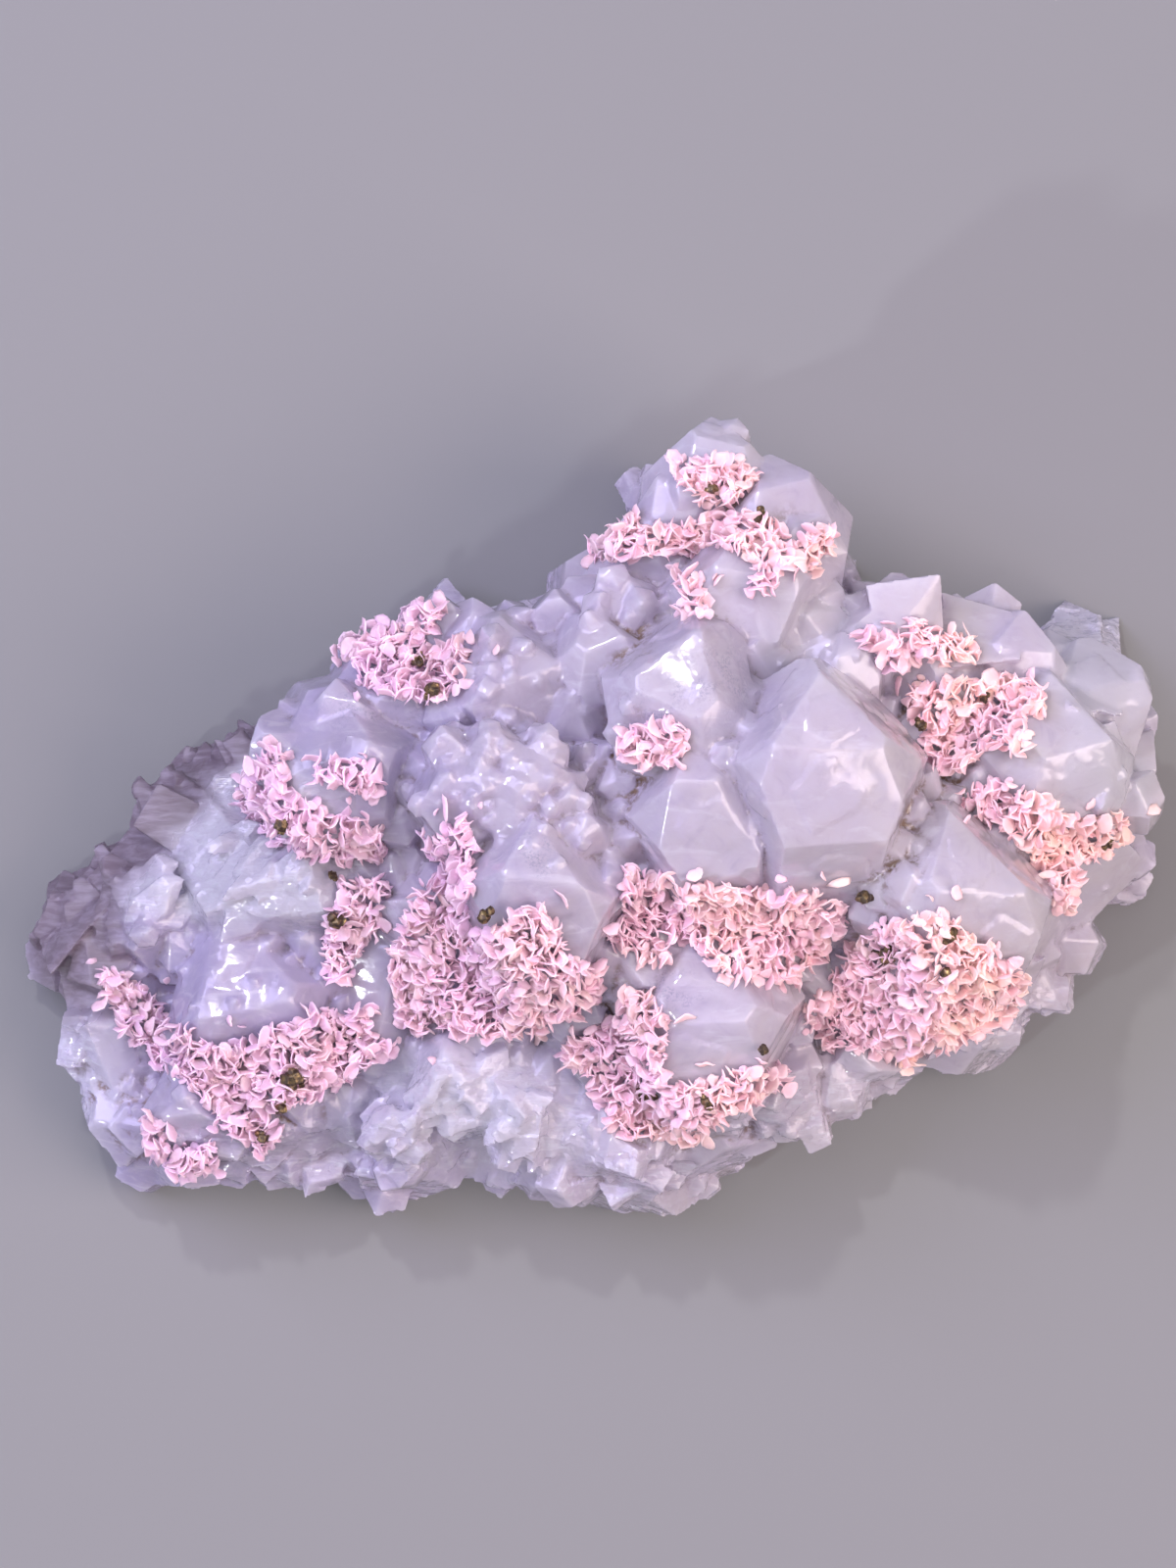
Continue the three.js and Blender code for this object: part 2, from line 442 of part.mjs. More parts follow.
function distanceToStroke(stroke, x, y) {
  let nearest = Infinity;
  for (let i = 0; i + 1 < stroke.length; i += 1) {
    const [ax, ay, ar] = stroke[i];
    const [bx, by, br] = stroke[i + 1];
    const along = ((x - ax) * (bx - ax) + (y - ay) * (by - ay)) / ((bx - ax) ** 2 + (by - ay) ** 2);
    const t = THREE.MathUtils.clamp(along, 0, 1);
    const gap = Math.hypot(x - ax - t * (bx - ax), y - ay - t * (by - ay)) - (ar + t * (br - ar));
    nearest = Math.min(nearest, gap);
  }
  return nearest;
}

// A crust as a closed skin over the quartz: cells of a grid whose middles lie in its strokes, lifted clear of
// everything under them. Cells already taken by another crust, or beside one, are left alone.
function layCrust(strokes, heightAt, taken) {
  const reach = (column, row) => Math.min(...strokes.map(
    (stroke) => distanceToStroke(stroke, (column + 0.5) * CRUST_CELL, (row + 0.5) * CRUST_CELL),
  ));
  const discs = strokes.flat();
  const low = (axis) => Math.floor(Math.min(...discs.map((disc) => disc[axis] - disc[2])) / CRUST_CELL) - 1;
  const high = (axis) => Math.ceil(Math.max(...discs.map((disc) => disc[axis] + disc[2])) / CRUST_CELL) + 1;
  const columns = [low(0), high(0)];
  const rows = [low(1), high(1)];
  const cells = new Set();
  const keyOf = (column, row) => `${column},${row}`;
  for (let column = columns[0]; column < columns[1]; column += 1) {
    for (let row = rows[0]; row < rows[1]; row += 1) {
      const key = keyOf(column, row);
      if (reach(column, row) < CRUST_CELL * 0.35 && !taken.has(key)) cells.add(key);
    }
  }
  // Of two cells that touch only at a corner one is dropped, so the skin never pinches to a point.
  let pinched = true;
  while (pinched) {
    pinched = false;
    for (let column = columns[0]; column < columns[1]; column += 1) {
      for (let row = rows[0]; row < rows[1]; row += 1) {
        const [a, b] = [cells.has(keyOf(column, row)), cells.has(keyOf(column + 1, row))];
        const [c, d] = [cells.has(keyOf(column, row + 1)), cells.has(keyOf(column + 1, row + 1))];
        if (a && d && !b && !c) {
          cells.delete(keyOf(column, row));
          pinched = true;
        } else if (b && c && !a && !d) {
          cells.delete(keyOf(column + 1, row));
          pinched = true;
        }
      }
    }
  }
  // The largest run of joined cells is the crust.
  const runs = [];
  const left = new Set(cells);
  while (left.size > 0) {
    const [start] = left;
    left.delete(start);
    const run = [start];
    for (let i = 0; i < run.length; i += 1) {
      const [column, row] = run[i].split(',').map(Number);
      for (const [right, up] of [[1, 0], [-1, 0], [0, 1], [0, -1]]) {
        const next = keyOf(column + right, row + up);
        if (left.delete(next)) run.push(next);
      }
    }
    runs.push(run);
  }
  const crust = new Set(runs.sort((one, other) => other.length - one.length)[0]);
  for (const key of crust) {
    const [column, row] = key.split(',').map(Number);
    for (let right = -1; right <= 1; right += 1) {
      for (let up = -1; up <= 1; up += 1) taken.add(keyOf(column + right, row + up));
    }
  }

  const around = (column, row) => [[0, 0], [-1, 0], [0, -1], [-1, -1]]
    .map(([right, up]) => keyOf(column + right, row + up)).filter((key) => crust.has(key));
  // A corner on the crust's edge slides along the slope of the strokes' distance, so the edge runs smooth.
  const placeOf = (column, row) => {
    const [x, y] = [column * CRUST_CELL, row * CRUST_CELL];
    if (around(column, row).length === 4) return [x, y];
    const gap = (dx, dy) => Math.min(...strokes.map((stroke) => distanceToStroke(stroke, x + dx, y + dy)));
    const slope = new THREE.Vector2(gap(0.1, 0) - gap(-0.1, 0), gap(0, 0.1) - gap(0, -0.1)).normalize();
    const slide = THREE.MathUtils.clamp(-gap(0, 0), -EDGE_SLIDE * CRUST_CELL, EDGE_SLIDE * CRUST_CELL);
    return [x + slope.x * slide, y + slope.y * slide];
  };
  // Every corner starts just clear of the quartz, and is lifted until no probe in a cell it bounds goes under.
  const floor = new Map();
  const ringOf = (column, row) => [[0, 0], [1, 0], [1, 1], [0, 1]].map(([right, up]) => [column + right, row + up]);
  const steps = Array.from({ length: CRUST_PROBES + 1 }, (_, step) => step / CRUST_PROBES);
  const probes = [];
  for (const key of crust) {
    const [column, row] = key.split(',').map(Number);
    const ring = ringOf(column, row);
    const places = ring.map(([c, r]) => placeOf(c, r));
    ring.forEach(([c, r], index) => floor.set(keyOf(c, r), heightAt(...places[index]) + CLEARANCE));
    // Both halves of a cell meet along the line from its first corner to its third.
    const weights = (u, v) => (u >= v ? [1 - u, u - v, v, 0] : [1 - v, 0, u, v - u]);
    const heights = steps.map((u) => steps.map((v) => {
      const share = weights(u, v);
      return heightAt(...[0, 1].map((axis) => places.reduce((sum, place, i) => sum + share[i] * place[axis], 0)));
    }));
    steps.forEach((u, i) => steps.forEach((v, j) => {
      const near = heights.slice(Math.max(0, i - 1), i + 2).flatMap((line) => line.slice(Math.max(0, j - 1), j + 2));
      const corners = ring.map(([c, r]) => keyOf(c, r));
      probes.push({ corners, share: weights(u, v), need: Math.max(...near) + CLEARANCE });
    }));
  }
  const ceiling = new Map();
  for (const { corners, need } of probes) {
    for (const key of corners) ceiling.set(key, Math.max(ceiling.get(key) ?? 0, need));
  }
  for (let pass = 0; pass < LIFT_PASSES; pass += 1) {
    for (const { corners, share, need } of probes) {
      const short = need - corners.reduce((sum, key, i) => sum + share[i] * floor.get(key), 0);
      if (short <= 0) continue;
      const scale = share.reduce((sum, part) => sum + part * part, 0);
      corners.forEach((key, i) => {
        floor.set(key, Math.min(ceiling.get(key), floor.get(key) + (short * share[i]) / scale));
      });
    }
  }
  // A corner that hangs off an edge of the quartz stays near the rest of its cell.
  for (const key of crust) {
    const corners = ringOf(...key.split(',').map(Number));
    const least = Math.max(...corners.map(([c, r]) => floor.get(keyOf(c, r)))) - LONGEST_FALL;
    for (const [c, r] of corners) {
      const place = keyOf(c, r);
      if (around(c, r).length < 4) floor.set(place, Math.max(floor.get(place), least));
    }
  }
  const corner = (column, row, isTop) => {
    const base = floor.get(keyOf(column, row));
    const thickness = around(column, row).length === 4 ? BLADE_REACH : BLADE_REACH * 0.55;
    return [...placeOf(column, row), isTop ? base + thickness : base];
  };
  const positions = [];
  const quad = (a, b, c, d) => positions.push(...a, ...b, ...c, ...a, ...c, ...d);
  for (const key of crust) {
    const [column, row] = key.split(',').map(Number);
    const [ta, tb, tc, td] = ringOf(column, row).map(([c, r]) => corner(c, r, true));
    const [ba, bb, bc, bd] = ringOf(column, row).map(([c, r]) => corner(c, r, false));
    quad(ta, tb, tc, td);
    quad(ba, bd, bc, bb);
    if (!crust.has(keyOf(column, row - 1))) quad(ba, bb, tb, ta);
    if (!crust.has(keyOf(column + 1, row))) quad(bb, bc, tc, tb);
    if (!crust.has(keyOf(column, row + 1))) quad(bc, bd, td, tc);
    if (!crust.has(keyOf(column - 1, row))) quad(bd, ba, ta, td);
  }
  const geometry = new THREE.BufferGeometry();
  geometry.setAttribute('position', new THREE.Float32BufferAttribute(positions, 3));
  return geometry;
}

// A pyrite grain: a cube with its corners cut, turned at chance and resting clear of what is under it.
function setGrain(name, { at, size }, heightAt) {
  const chance = chanceFor(name);
  const planes = [];
  for (const normal of [[1, 0, 0], [-1, 0, 0], [0, 1, 0], [0, -1, 0], [0, 0, 1], [0, 0, -1]]) {
    planes.push({ normal: new THREE.Vector3(...normal), distance: size * (0.42 + 0.16 * chance()) });
  }
  for (const normal of [[1, 1, 1], [-1, 1, 1], [1, -1, 1], [-1, -1, -1]]) {
    const cut = new THREE.Vector3(...normal).normalize();
    planes.push({ normal: cut, distance: size * (0.58 + 0.12 * chance()) });
  }
  const turned = new THREE.Euler(Math.PI * chance(), Math.PI * chance(), Math.PI * chance());
  const grain = convexBody(planes).applyQuaternion(new THREE.Quaternion().setFromEuler(turned));
  grain.computeBoundingBox();
  const { min, max } = grain.boundingBox;
  let tallest = 0;
  for (let i = 0; i <= CRUST_PROBES; i += 1) {
    for (let j = 0; j <= CRUST_PROBES; j += 1) {
      const x = at[0] + min.x + ((max.x - min.x) * i) / CRUST_PROBES;
      const y = at[1] + min.y + ((max.y - min.y) * j) / CRUST_PROBES;
      tallest = Math.max(tallest, heightAt(x, y));
    }
  }
  return grain.translate(at[0], at[1], tallest + CLEARANCE - min.z);
}

const group = new THREE.Group();
group.name = 'rhodochrosite_specimen';

const quartz = addMesh(group, 'quartz_cluster', growQuartz(), 'milky_quartz');
quartz.updateMatrixWorld(true);
const quartzHeight = heightReader([quartz]);
const taken = new Set();
const crusts = Object.entries(CRUSTS).map(([name, strokes]) => {
  const crust = layCrust(strokes, quartzHeight, taken);
  return addMesh(group, `rhodochrosite_${name}`, crust, 'pink_rhodochrosite');
});
const surfaceHeight = heightReader([quartz, ...crusts]);
for (const [name, grain] of Object.entries(GRAINS)) {
  addMesh(group, `pyrite_${name}`, setGrain(name, grain, surfaceHeight), 'brassy_pyrite');
}

// The origin goes to the middle of the specimen's outline, on its flat back.
const box = new THREE.Box3().setFromObject(group);
const middle = box.getCenter(new THREE.Vector3());
for (const mesh of group.children) mesh.geometry.translate(-middle.x, -middle.y, -box.min.z);

export default group;
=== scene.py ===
# %% [markdown]
# # A rhodochrosite specimen on milky quartz
# The specimen is a fist of blunt milky quartz crystals that grew together, with crusts of thin pink
# rhodochrosite blades on their ledges and a few brassy pyrite grains among the blades. The packed
# model gives the size and place of everything. This lesson adds what a solid modeller can't carry:
# the worn and broken surface of the quartz, thousands of single blades, and the light inside the stone.

# %% Load the fixed frame
import math
import random
from itertools import product

import bmesh
import bpy
import numpy as np
from mathutils import Euler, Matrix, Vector
from mathutils.bvhtree import BVHTree
from mathutils.kdtree import KDTree


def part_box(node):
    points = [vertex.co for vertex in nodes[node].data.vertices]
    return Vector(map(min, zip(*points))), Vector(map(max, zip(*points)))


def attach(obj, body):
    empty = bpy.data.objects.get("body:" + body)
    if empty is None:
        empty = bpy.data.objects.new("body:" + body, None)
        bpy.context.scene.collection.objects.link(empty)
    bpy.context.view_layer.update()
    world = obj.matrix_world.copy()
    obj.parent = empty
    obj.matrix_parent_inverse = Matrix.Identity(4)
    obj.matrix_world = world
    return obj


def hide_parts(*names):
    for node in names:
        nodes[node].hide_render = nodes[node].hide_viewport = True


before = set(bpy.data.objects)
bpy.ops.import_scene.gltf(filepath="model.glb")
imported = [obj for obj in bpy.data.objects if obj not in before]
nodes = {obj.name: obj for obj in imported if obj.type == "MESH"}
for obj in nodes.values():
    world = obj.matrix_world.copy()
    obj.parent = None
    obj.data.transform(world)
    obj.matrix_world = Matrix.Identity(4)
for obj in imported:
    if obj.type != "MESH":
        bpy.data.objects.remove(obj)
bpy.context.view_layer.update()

MM = 0.001
BODY = "root"
crust_names = sorted(n for n in nodes if n.startswith("rhodochrosite_"))
grain_names = sorted(n for n in nodes if n.startswith("pyrite_"))
print(len(crust_names), "crusts and", len(grain_names), "groups of grains around one quartz cluster")

# %% [markdown]
# ## Helpers for shapes
# All shaping is done in millimetres, because a blade 0.2 mm thick is easier to think about than one
# of 0.0002 m, and a mesh is turned back to metres when it becomes an object. Noise could come from
# mathutils one point at a time, but numpy works on every point of a mesh at once, so a surface of a
# few hundred thousand points is shaped in a second or so.

# %% Mesh in, mesh out


def corners_mm(mesh, unit=MM):
    """Every vertex as rows of x, y, z in millimetres. A mesh already kept in millimetres has unit 1."""
    flat = np.zeros(len(mesh.vertices) * 3)
    mesh.vertices.foreach_get("co", flat)
    return flat.reshape(-1, 3) / unit


def facings_of(mesh):
    """The outward direction at every vertex of a mesh."""
    flat = np.zeros(len(mesh.vertices) * 3)
    mesh.vertex_normals.foreach_get("vector", flat)
    return flat.reshape(-1, 3)


def triangles_of(mesh):
    """Every triangle of a mesh, as rows of three vertex numbers."""
    mesh.calc_loop_triangles()
    flat = np.zeros(len(mesh.loop_triangles) * 3, np.int32)
    mesh.loop_triangles.foreach_get("vertices", flat)
    return flat.reshape(-1, 3)


def put_in_scene(name, data):
    """A new object in the scene that holds a mesh, a light or a camera."""
    made = bpy.data.objects.new(name, data)
    bpy.context.scene.collection.objects.link(made)
    return made


def object_from(name, corners, faces):
    """A new object in the scene, from corners in millimetres and faces of corner numbers."""
    mesh = bpy.data.meshes.new(name)
    mesh.from_pydata((np.asarray(corners) * MM).tolist(), [], np.asarray(faces).tolist())
    mesh.update()
    return put_in_scene(name, mesh)


def add_hull(build, corners):
    """Wrap corners in their convex hull, inside the bmesh being built."""
    made = [build.verts.new(corner) for corner in corners]
    hull = bmesh.ops.convex_hull(build, input=made)
    spare = {v for v in hull["geom_interior"] + hull["geom_unused"] if isinstance(v, bmesh.types.BMVert)}
    bmesh.ops.delete(build, geom=list(spare), context="VERTS")


def mark(piece, name, values):
    """Store one number for each vertex, for the finish to read."""
    stored = piece.data.attributes.new(name, "FLOAT", "POINT")
    stored.data.foreach_set("value", np.asarray(values, np.float32))


# %% Noise on many points at once
HASH_STEPS = (73856093, 19349663, 83492791, 50331653)
HASH_STIRS = (1274126177, 668265263)
HASH_TOP = 0x7FFFFFFF


def scrambled(cells, seed):
    """The same number from 0 to 1 each run for each whole-numbered cell."""
    key = cells[:, 0] * HASH_STEPS[0] ^ cells[:, 1] * HASH_STEPS[1] ^ cells[:, 2] * HASH_STEPS[2]
    key = (key ^ (seed * HASH_STEPS[3])) & HASH_TOP
    key = ((key ^ (key >> 13)) * HASH_STIRS[0]) & HASH_TOP
    key = ((key ^ (key >> 16)) * HASH_STIRS[1]) & HASH_TOP
    return (key ^ (key >> 15)) / HASH_TOP


def rolling(points, size, seed):
    """Smooth noise from -1 to 1 that changes over about `size` millimetres."""
    cell = points / size
    base = np.floor(cell).astype(np.int64)
    part = cell - base
    part = part * part * (3 - 2 * part)
    total = np.zeros(len(points))
    for corner in product((0, 1), repeat=3):
        near = np.where(np.array(corner) == 1, part, 1 - part).prod(axis=1)
        total += near * (scrambled(base + corner, seed) * 2 - 1)
    return total


def chipped(points, size, slope, seed):
    """Heights of small tilted flats, each about `size` millimetres across, like broken quartz."""
    cell = points / size
    base = np.floor(cell).astype(np.int64)
    best = np.full(len(points), np.inf)
    height = np.zeros(len(points))
    for offset in product((-1, 0, 1), repeat=3):
        at = base + offset
        jitter = np.stack([scrambled(at, seed + k) for k in range(3)], axis=1)
        away = cell - at - jitter
        far = (away ** 2).sum(axis=1)
        tilt = np.stack([scrambled(at, seed + 3 + k) * 2 - 1 for k in range(3)], axis=1)
        nearer = far < best
        best = np.where(nearer, far, best)
        height = np.where(nearer, (away * tilt).sum(axis=1) * slope, height)
    return height * size


def inside(points, spot, softness=0.35):
    """1 inside an upright ellipse (x, y, reach in x, reach in y), falling to 0 past its edge."""
    x, y, rx, ry = spot
    away = np.hypot((points[:, 0] - x) / rx, (points[:, 1] - y) / ry)
    return np.clip((1 + softness - away) / softness, 0, 1)


# %% [markdown]
# ## The quartz cluster
# The real cluster is a mosaic: between the large crystals sit small ones, the large faces carry low
# growth steps, some tips are corroded into rough buds, and where the piece was broken from its rock
# the edge is all splinters and flat glassy plates. Sculpting by hand would take days, and bump alone
# would leave the outline too clean. So convex lumps, which are six-sided points, splinters and plates,
# are dropped on the imported solid by rule, and one voxel remesh melts them into a single skin with
# slightly rounded edges. The lists below say where each kind belongs.

# %% Where the quartz has its clear, pale and speckled places, and where shade is painted (x, y, reach x, reach y in mm)
CLEAR_SPOTS = [(-29.5, -1.0, 9.0, 6.0), (-23.5, -3.0, 3.5, 5), (-9.5, -24.0, 8.5, 4.6),
               (43.0, 13.2, 3.6, 4.6), (11.0, 31.5, 4.0, 2.2), (18.5, 14.5, 4.0, 3.2), (44, 4.5, 2.5, 3.0)]
# where the low west end is painted dark as shade
PAINTED_SHADE_SPOTS = [(-43.0, -7.5, 4.0, 7.0), (-39.5, -1.5, 3.8, 3.6), (-36.0, 2.5, 3.6, 2.8),
               (-32, 6.5, 4.0, 2.2)]
PALE_SPOTS = [(-42, -18, 2.6, 9), (-27.5, -1.8, 6.5, 4.5), (42.5, 12.5, 4, 5), (-30, -6.0, 8.5, 1.6),
              (-10, -23, 5, 3), (42, 3, 3, 5)]
SPECKLED_SPOTS = [(9.1, 11.2, 2.6, 2.2), (-4.4, -2.7, 1.2, 1.4), (7.2, -13.8, 1.8, 1.2),
                  (5.6, 9.6, 1.6, 1.4), (-17.5, 9.5, 3.0, 1.0), (20, -9.5, 1.5, 1.5), (31.5, 9.0, 1.5, 1.0)]

# %% Where buds, small points and splinters grow or break (x, y, reach x, reach y in mm, how many)
BUD_SPOTS = [(-7.5, 5.5, 5.0, 3.2, 44), (-2.5, 1.0, 2.4, 5.0, 22), (-11.5, 0.5, 3.5, 3.0, 18),
             (2.2, 7.0, 2.2, 3.0, 8), (-8.5, 0.0, 4.0, 3.0, 16)]
POINT_SPOTS = [(1.2, 18.5, 3.8, 3.0, 12), (21.5, 15.2, 5.5, 2.8, 18), (-7.0, 14.5, 4.5, 4.5, 10),
               (42.0, 1.5, 3.0, 4.0, 4), (-32, -12, 9, 4, 14), (-33, -23, 7, 5, 12), (3.5, -26, 6, 3.5, 10)]
FRACTURE_SPOTS = [(-29.5, -1.0, 9.0, 6.0, 46), (-9.5, -24.0, 8.5, 4.0, 44), (-23, -3, 4, 5, 14),
                  (-36.5, -7, 4, 3, 18), (-29, -6.5, 6, 1.5, 10)]
SHARD_SPOTS = [(-9.5, -26.0, 8.5, 2.5, 10), (-24, -27.5, 12, 2.2, 26),
               (3, -29.5, 6, 2.0, 16), (19, -24, 9, 2.5, 22), (36, -17, 4, 3, 8),
               (-42.5, -20, 1.5, 4, 4)]

# %% Where flat plates break off (their corners x, y, then how far they rise), and one toothed edge
PLATES = [([(22.4, 19.2), (28.5, 20.1), (28.9, 15.0), (23.5, 13.5)], 0.7),
          ([(28.9, 18.8), (34.6, 17.2), (35.2, 13.2), (29.5, 12.5)], 0.7),
          ([(38.9, 16.4), (45.3, 17.3), (43.8, 8.6), (38.9, 9.3)], 1.2),
          ([(-44.3, -12.5), (-42.4, -8.1), (-40.2, -15.8), (-37.3, -23.5), (-37.8, -28.3),
            (-41.9, -25.4)], 0.6),
          ([(-46.1, -5.3), (-45.0, -4.5), (-41.9, -4.8), (-40.2, -7.2), (-43.6, -9.1), (-44.8, -12.9),
            (-46.1, -10.1)], 0.5),
          ([(-41.9, -4.8), (-39.7, -2.9), (-37.6, 0.2), (-35.0, -2.6), (-39.5, -7.2)], -0.2),
          ([(-37.9, -0.4), (-35.8, 3.2), (-32.5, 1.5), (-34.6, -2.6)], 0.5),
          ([(-36.5, 1.5), (-35.4, 3.9), (-30.6, 6.5), (-28.7, 7.6), (-28.2, 5.0), (-32.5, 1.3)], 0.1),
          ([(40.3, -9.4), (42.7, -4.6), (37.5, -6.5), (35.5, -17.0), (33.0, -12.0)], 0.5),
          ([(35.5, -17.4), (28.0, -20.0), (30.0, -15.5), (37.8, -11.0)], 0.5),
          ([(43.1, 8.3), (45.5, 3.1), (42.7, -4.6), (38.5, -2.0), (39.0, 7.0)], 0.5)]
TOOTHED_EDGE = [(-42.6, -5.6), (-39.7, -3.6), (-35.6, 3.0), (-30.8, 5.6), (-28.6, 7.2)]
print(len(PLATES), "plates and", len(BUD_SPOTS) + len(POINT_SPOTS), "places for buds and small points")

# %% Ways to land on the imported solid
chance = random.Random(4127)
cluster_mesh = nodes["quartz_cluster"].data
cluster_corners = corners_mm(cluster_mesh)
cluster_triangles = triangles_of(cluster_mesh)
cluster_surface = BVHTree.FromPolygons(cluster_corners.tolist(), cluster_triangles.tolist())
SKY = 60.0
UP, DOWN = Vector((0, 0, 1)), Vector((0, 0, -1))
BASE_LEVEL = 0.0


def drop_on(surface, x, y):
    """Where a straight drop at x, y lands on a surface, and the surface's direction there."""
    place, facing, _, _ = surface.ray_cast(Vector((x, y, SKY)), DOWN)
    return place, facing


def spot_place(x, y, rx, ry):
    """A random x, y inside an ellipse."""
    turn, reach = chance.uniform(0, math.tau), math.sqrt(chance.random())
    return x + rx * reach * math.cos(turn), y + ry * reach * math.sin(turn)


def landings(spots, lowest=-math.inf):
    """Random places inside spots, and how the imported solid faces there, where it is high enough."""
    for x, y, rx, ry, count in spots:
        for _ in range(count):
            place, facing = drop_on(cluster_surface, *spot_place(x, y, rx, ry))
            if place is not None and place.z >= lowest:
                yield place, facing


def wobble(amount):
    """A small random arrow."""
    return Vector([chance.uniform(-amount, amount) for _ in range(3)])


def axes_about(axis):
    """Two directions square to an axis."""
    side = axis.orthogonal().normalized()
    return side, axis.cross(side)


# %% The shapes that are dropped: a small point, a splinter, a plate and a growth step
POINT_SIDES = 6
PLATE_DEPTH = 12
PLATE_TAPER = 0.12
STEP_SIDES = 5
STEP_TRIES = 3
STEP_SHRINK = 0.75
ON_SURFACE = 0.02
SAME_WAY = 0.98


def small_point(foot, axis, radius, length):
    """Corners of a six-sided quartz point with a slightly lopsided tip."""
    side, other = axes_about(axis)
    turn = chance.uniform(0, math.tau)
    widths = [radius * chance.uniform(0.85, 1.12) for _ in range(POINT_SIDES)]
    shoulders = [length * chance.uniform(0.5, 0.72) for _ in range(POINT_SIDES)]
    corners = []
    for k in range(POINT_SIDES):
        angle = turn + k * math.tau / POINT_SIDES
        out = side * math.cos(angle) + other * math.sin(angle)
        corners += [foot + out * widths[k] * 0.92, foot + out * widths[k] + axis * shoulders[k]]
    tip = foot + axis * length + wobble(radius * 0.22)
    corners += [tip, tip - axis * radius * 0.15 + side * radius * 0.25]
    return corners


def shard(place, axis, size, flatness, along=None):
    """Corners of a broken splinter with a flat top, drawn out along a direction where one is given."""
    side, other = axes_about(axis)
    turn, stretch, count = chance.uniform(0, math.tau), chance.uniform(0.6, 1.5), chance.randint(4, 6)
    if along is not None:
        other = axis.cross(along).normalized()
        side, stretch = other.cross(axis), chance.uniform(1.6, 3.2)
    corners = []
    for k in range(count):
        angle = turn + (k + chance.uniform(-0.25, 0.25)) * math.tau / count
        out = (side * math.cos(angle) * stretch + other * math.sin(angle)) * size
        top = flatness * size * chance.uniform(0.75, 1.0)
        corners += [place + out * chance.uniform(0.75, 1.0) + axis * top,
                    place + out * 1.05 - axis * size * 0.6]
    return corners


def plate(outline, lift):
    """Corners of a flat slab whose top takes the mean slope of the solid under its outline."""
    landed = [place for place, _ in (drop_on(cluster_surface, x, y) for x, y in outline) if place]
    known = np.array([(place.x, place.y, 1) for place in landed])
    slope = np.linalg.lstsq(known, np.array([place.z for place in landed]), rcond=None)[0]
    ceiling = max(place.z for place in landed)
    tops = [Vector((x, y, min(float(slope @ (x, y, 1)), ceiling) + lift)) for x, y in outline]
    middle = sum(tops, Vector()) / len(tops)
    return tops + [Vector((*top.lerp(middle, PLATE_TAPER).xy, max(top.z - PLATE_DEPTH, BASE_LEVEL)))
                   for top in tops]


def growth_step(place, facing, reach):
    """Corners of a thin raised plateau with straight sides, kept inside the crystal face it lies on."""
    side, other = axes_about(facing)
    turn, height = chance.uniform(0, math.tau), chance.uniform(0.1, 0.22)
    corners = []
    for k in range(STEP_SIDES):
        angle = turn + k * math.tau / STEP_SIDES + chance.uniform(-0.3, 0.3)
        out = (side * math.cos(angle) + other * math.sin(angle)) * reach * chance.uniform(0.6, 1.1)
        for _ in range(STEP_TRIES):
            _, direction, _, distance = cluster_surface.find_nearest(place + out)
            if distance < ON_SURFACE and direction.dot(facing) > SAME_WAY:
                break
            out *= STEP_SHRINK
        else:
            return []
        corners += [place + out + facing * height, place + out * 1.05 - facing * 0.5]
    return corners


# %% Small crystals that fill the deep gaps between the large ones
GRID = 0.75
FILL_REACH = 4
FILL_GAP = 2.0
SHALLOWEST_GAP = 1.2
LOWEST_FILLED = 2

columns = np.arange(cluster_corners[:, 0].min(), cluster_corners[:, 0].max(), GRID)
rows = np.arange(cluster_corners[:, 1].min(), cluster_corners[:, 1].max(), GRID)
heights = np.full((len(columns), len(rows)), -1.0)
for i, x in enumerate(columns):
    for j, y in enumerate(rows):
        place, _ = drop_on(cluster_surface, x, y)
        if place:
            heights[i, j] = place.z


def spread(grid, pick, reach):
    """The highest or lowest of the cells within a reach of each cell."""
    padded = np.pad(grid, reach, mode="edge")
    shape = grid.shape
    windows = [padded[reach + i:reach + i + shape[0], reach + j:reach + j + shape[1]]
               for i in range(-reach, reach + 1) for j in range(-reach, reach + 1)
               if i * i + j * j <= reach * reach + 1]
    return pick.reduce(windows)


filled = spread(spread(heights, np.maximum, FILL_REACH), np.minimum, FILL_REACH)
depth = np.where(heights > LOWEST_FILLED, filled - heights, 0)
lumps, filler_places = [], []
gap_cells = np.argwhere(depth > SHALLOWEST_GAP).tolist()
chance.shuffle(gap_cells)
for i, j in gap_cells:
    x, y = columns[i], rows[j]
    if all(math.hypot(x - px, y - py) > FILL_GAP for px, py in filler_places):
        filler_places.append((x, y))
        rise = filled[i, j] - min(depth[i, j] * chance.uniform(0.3, 0.6), chance.uniform(0.8, 2.8))
        radius = chance.uniform(1.6, 3.2)
        axis = (Vector((0, 0.28, 1)) + wobble(0.3)).normalized()
        length = max(radius * 2.2, depth[i, j])
        lumps.append(small_point(Vector((x, y, rise)) - axis * length, axis, radius, length))
fillers_made = len(lumps)
print(fillers_made, "small crystals in gaps up to", round(float(depth.max()), 1), "mm deep")

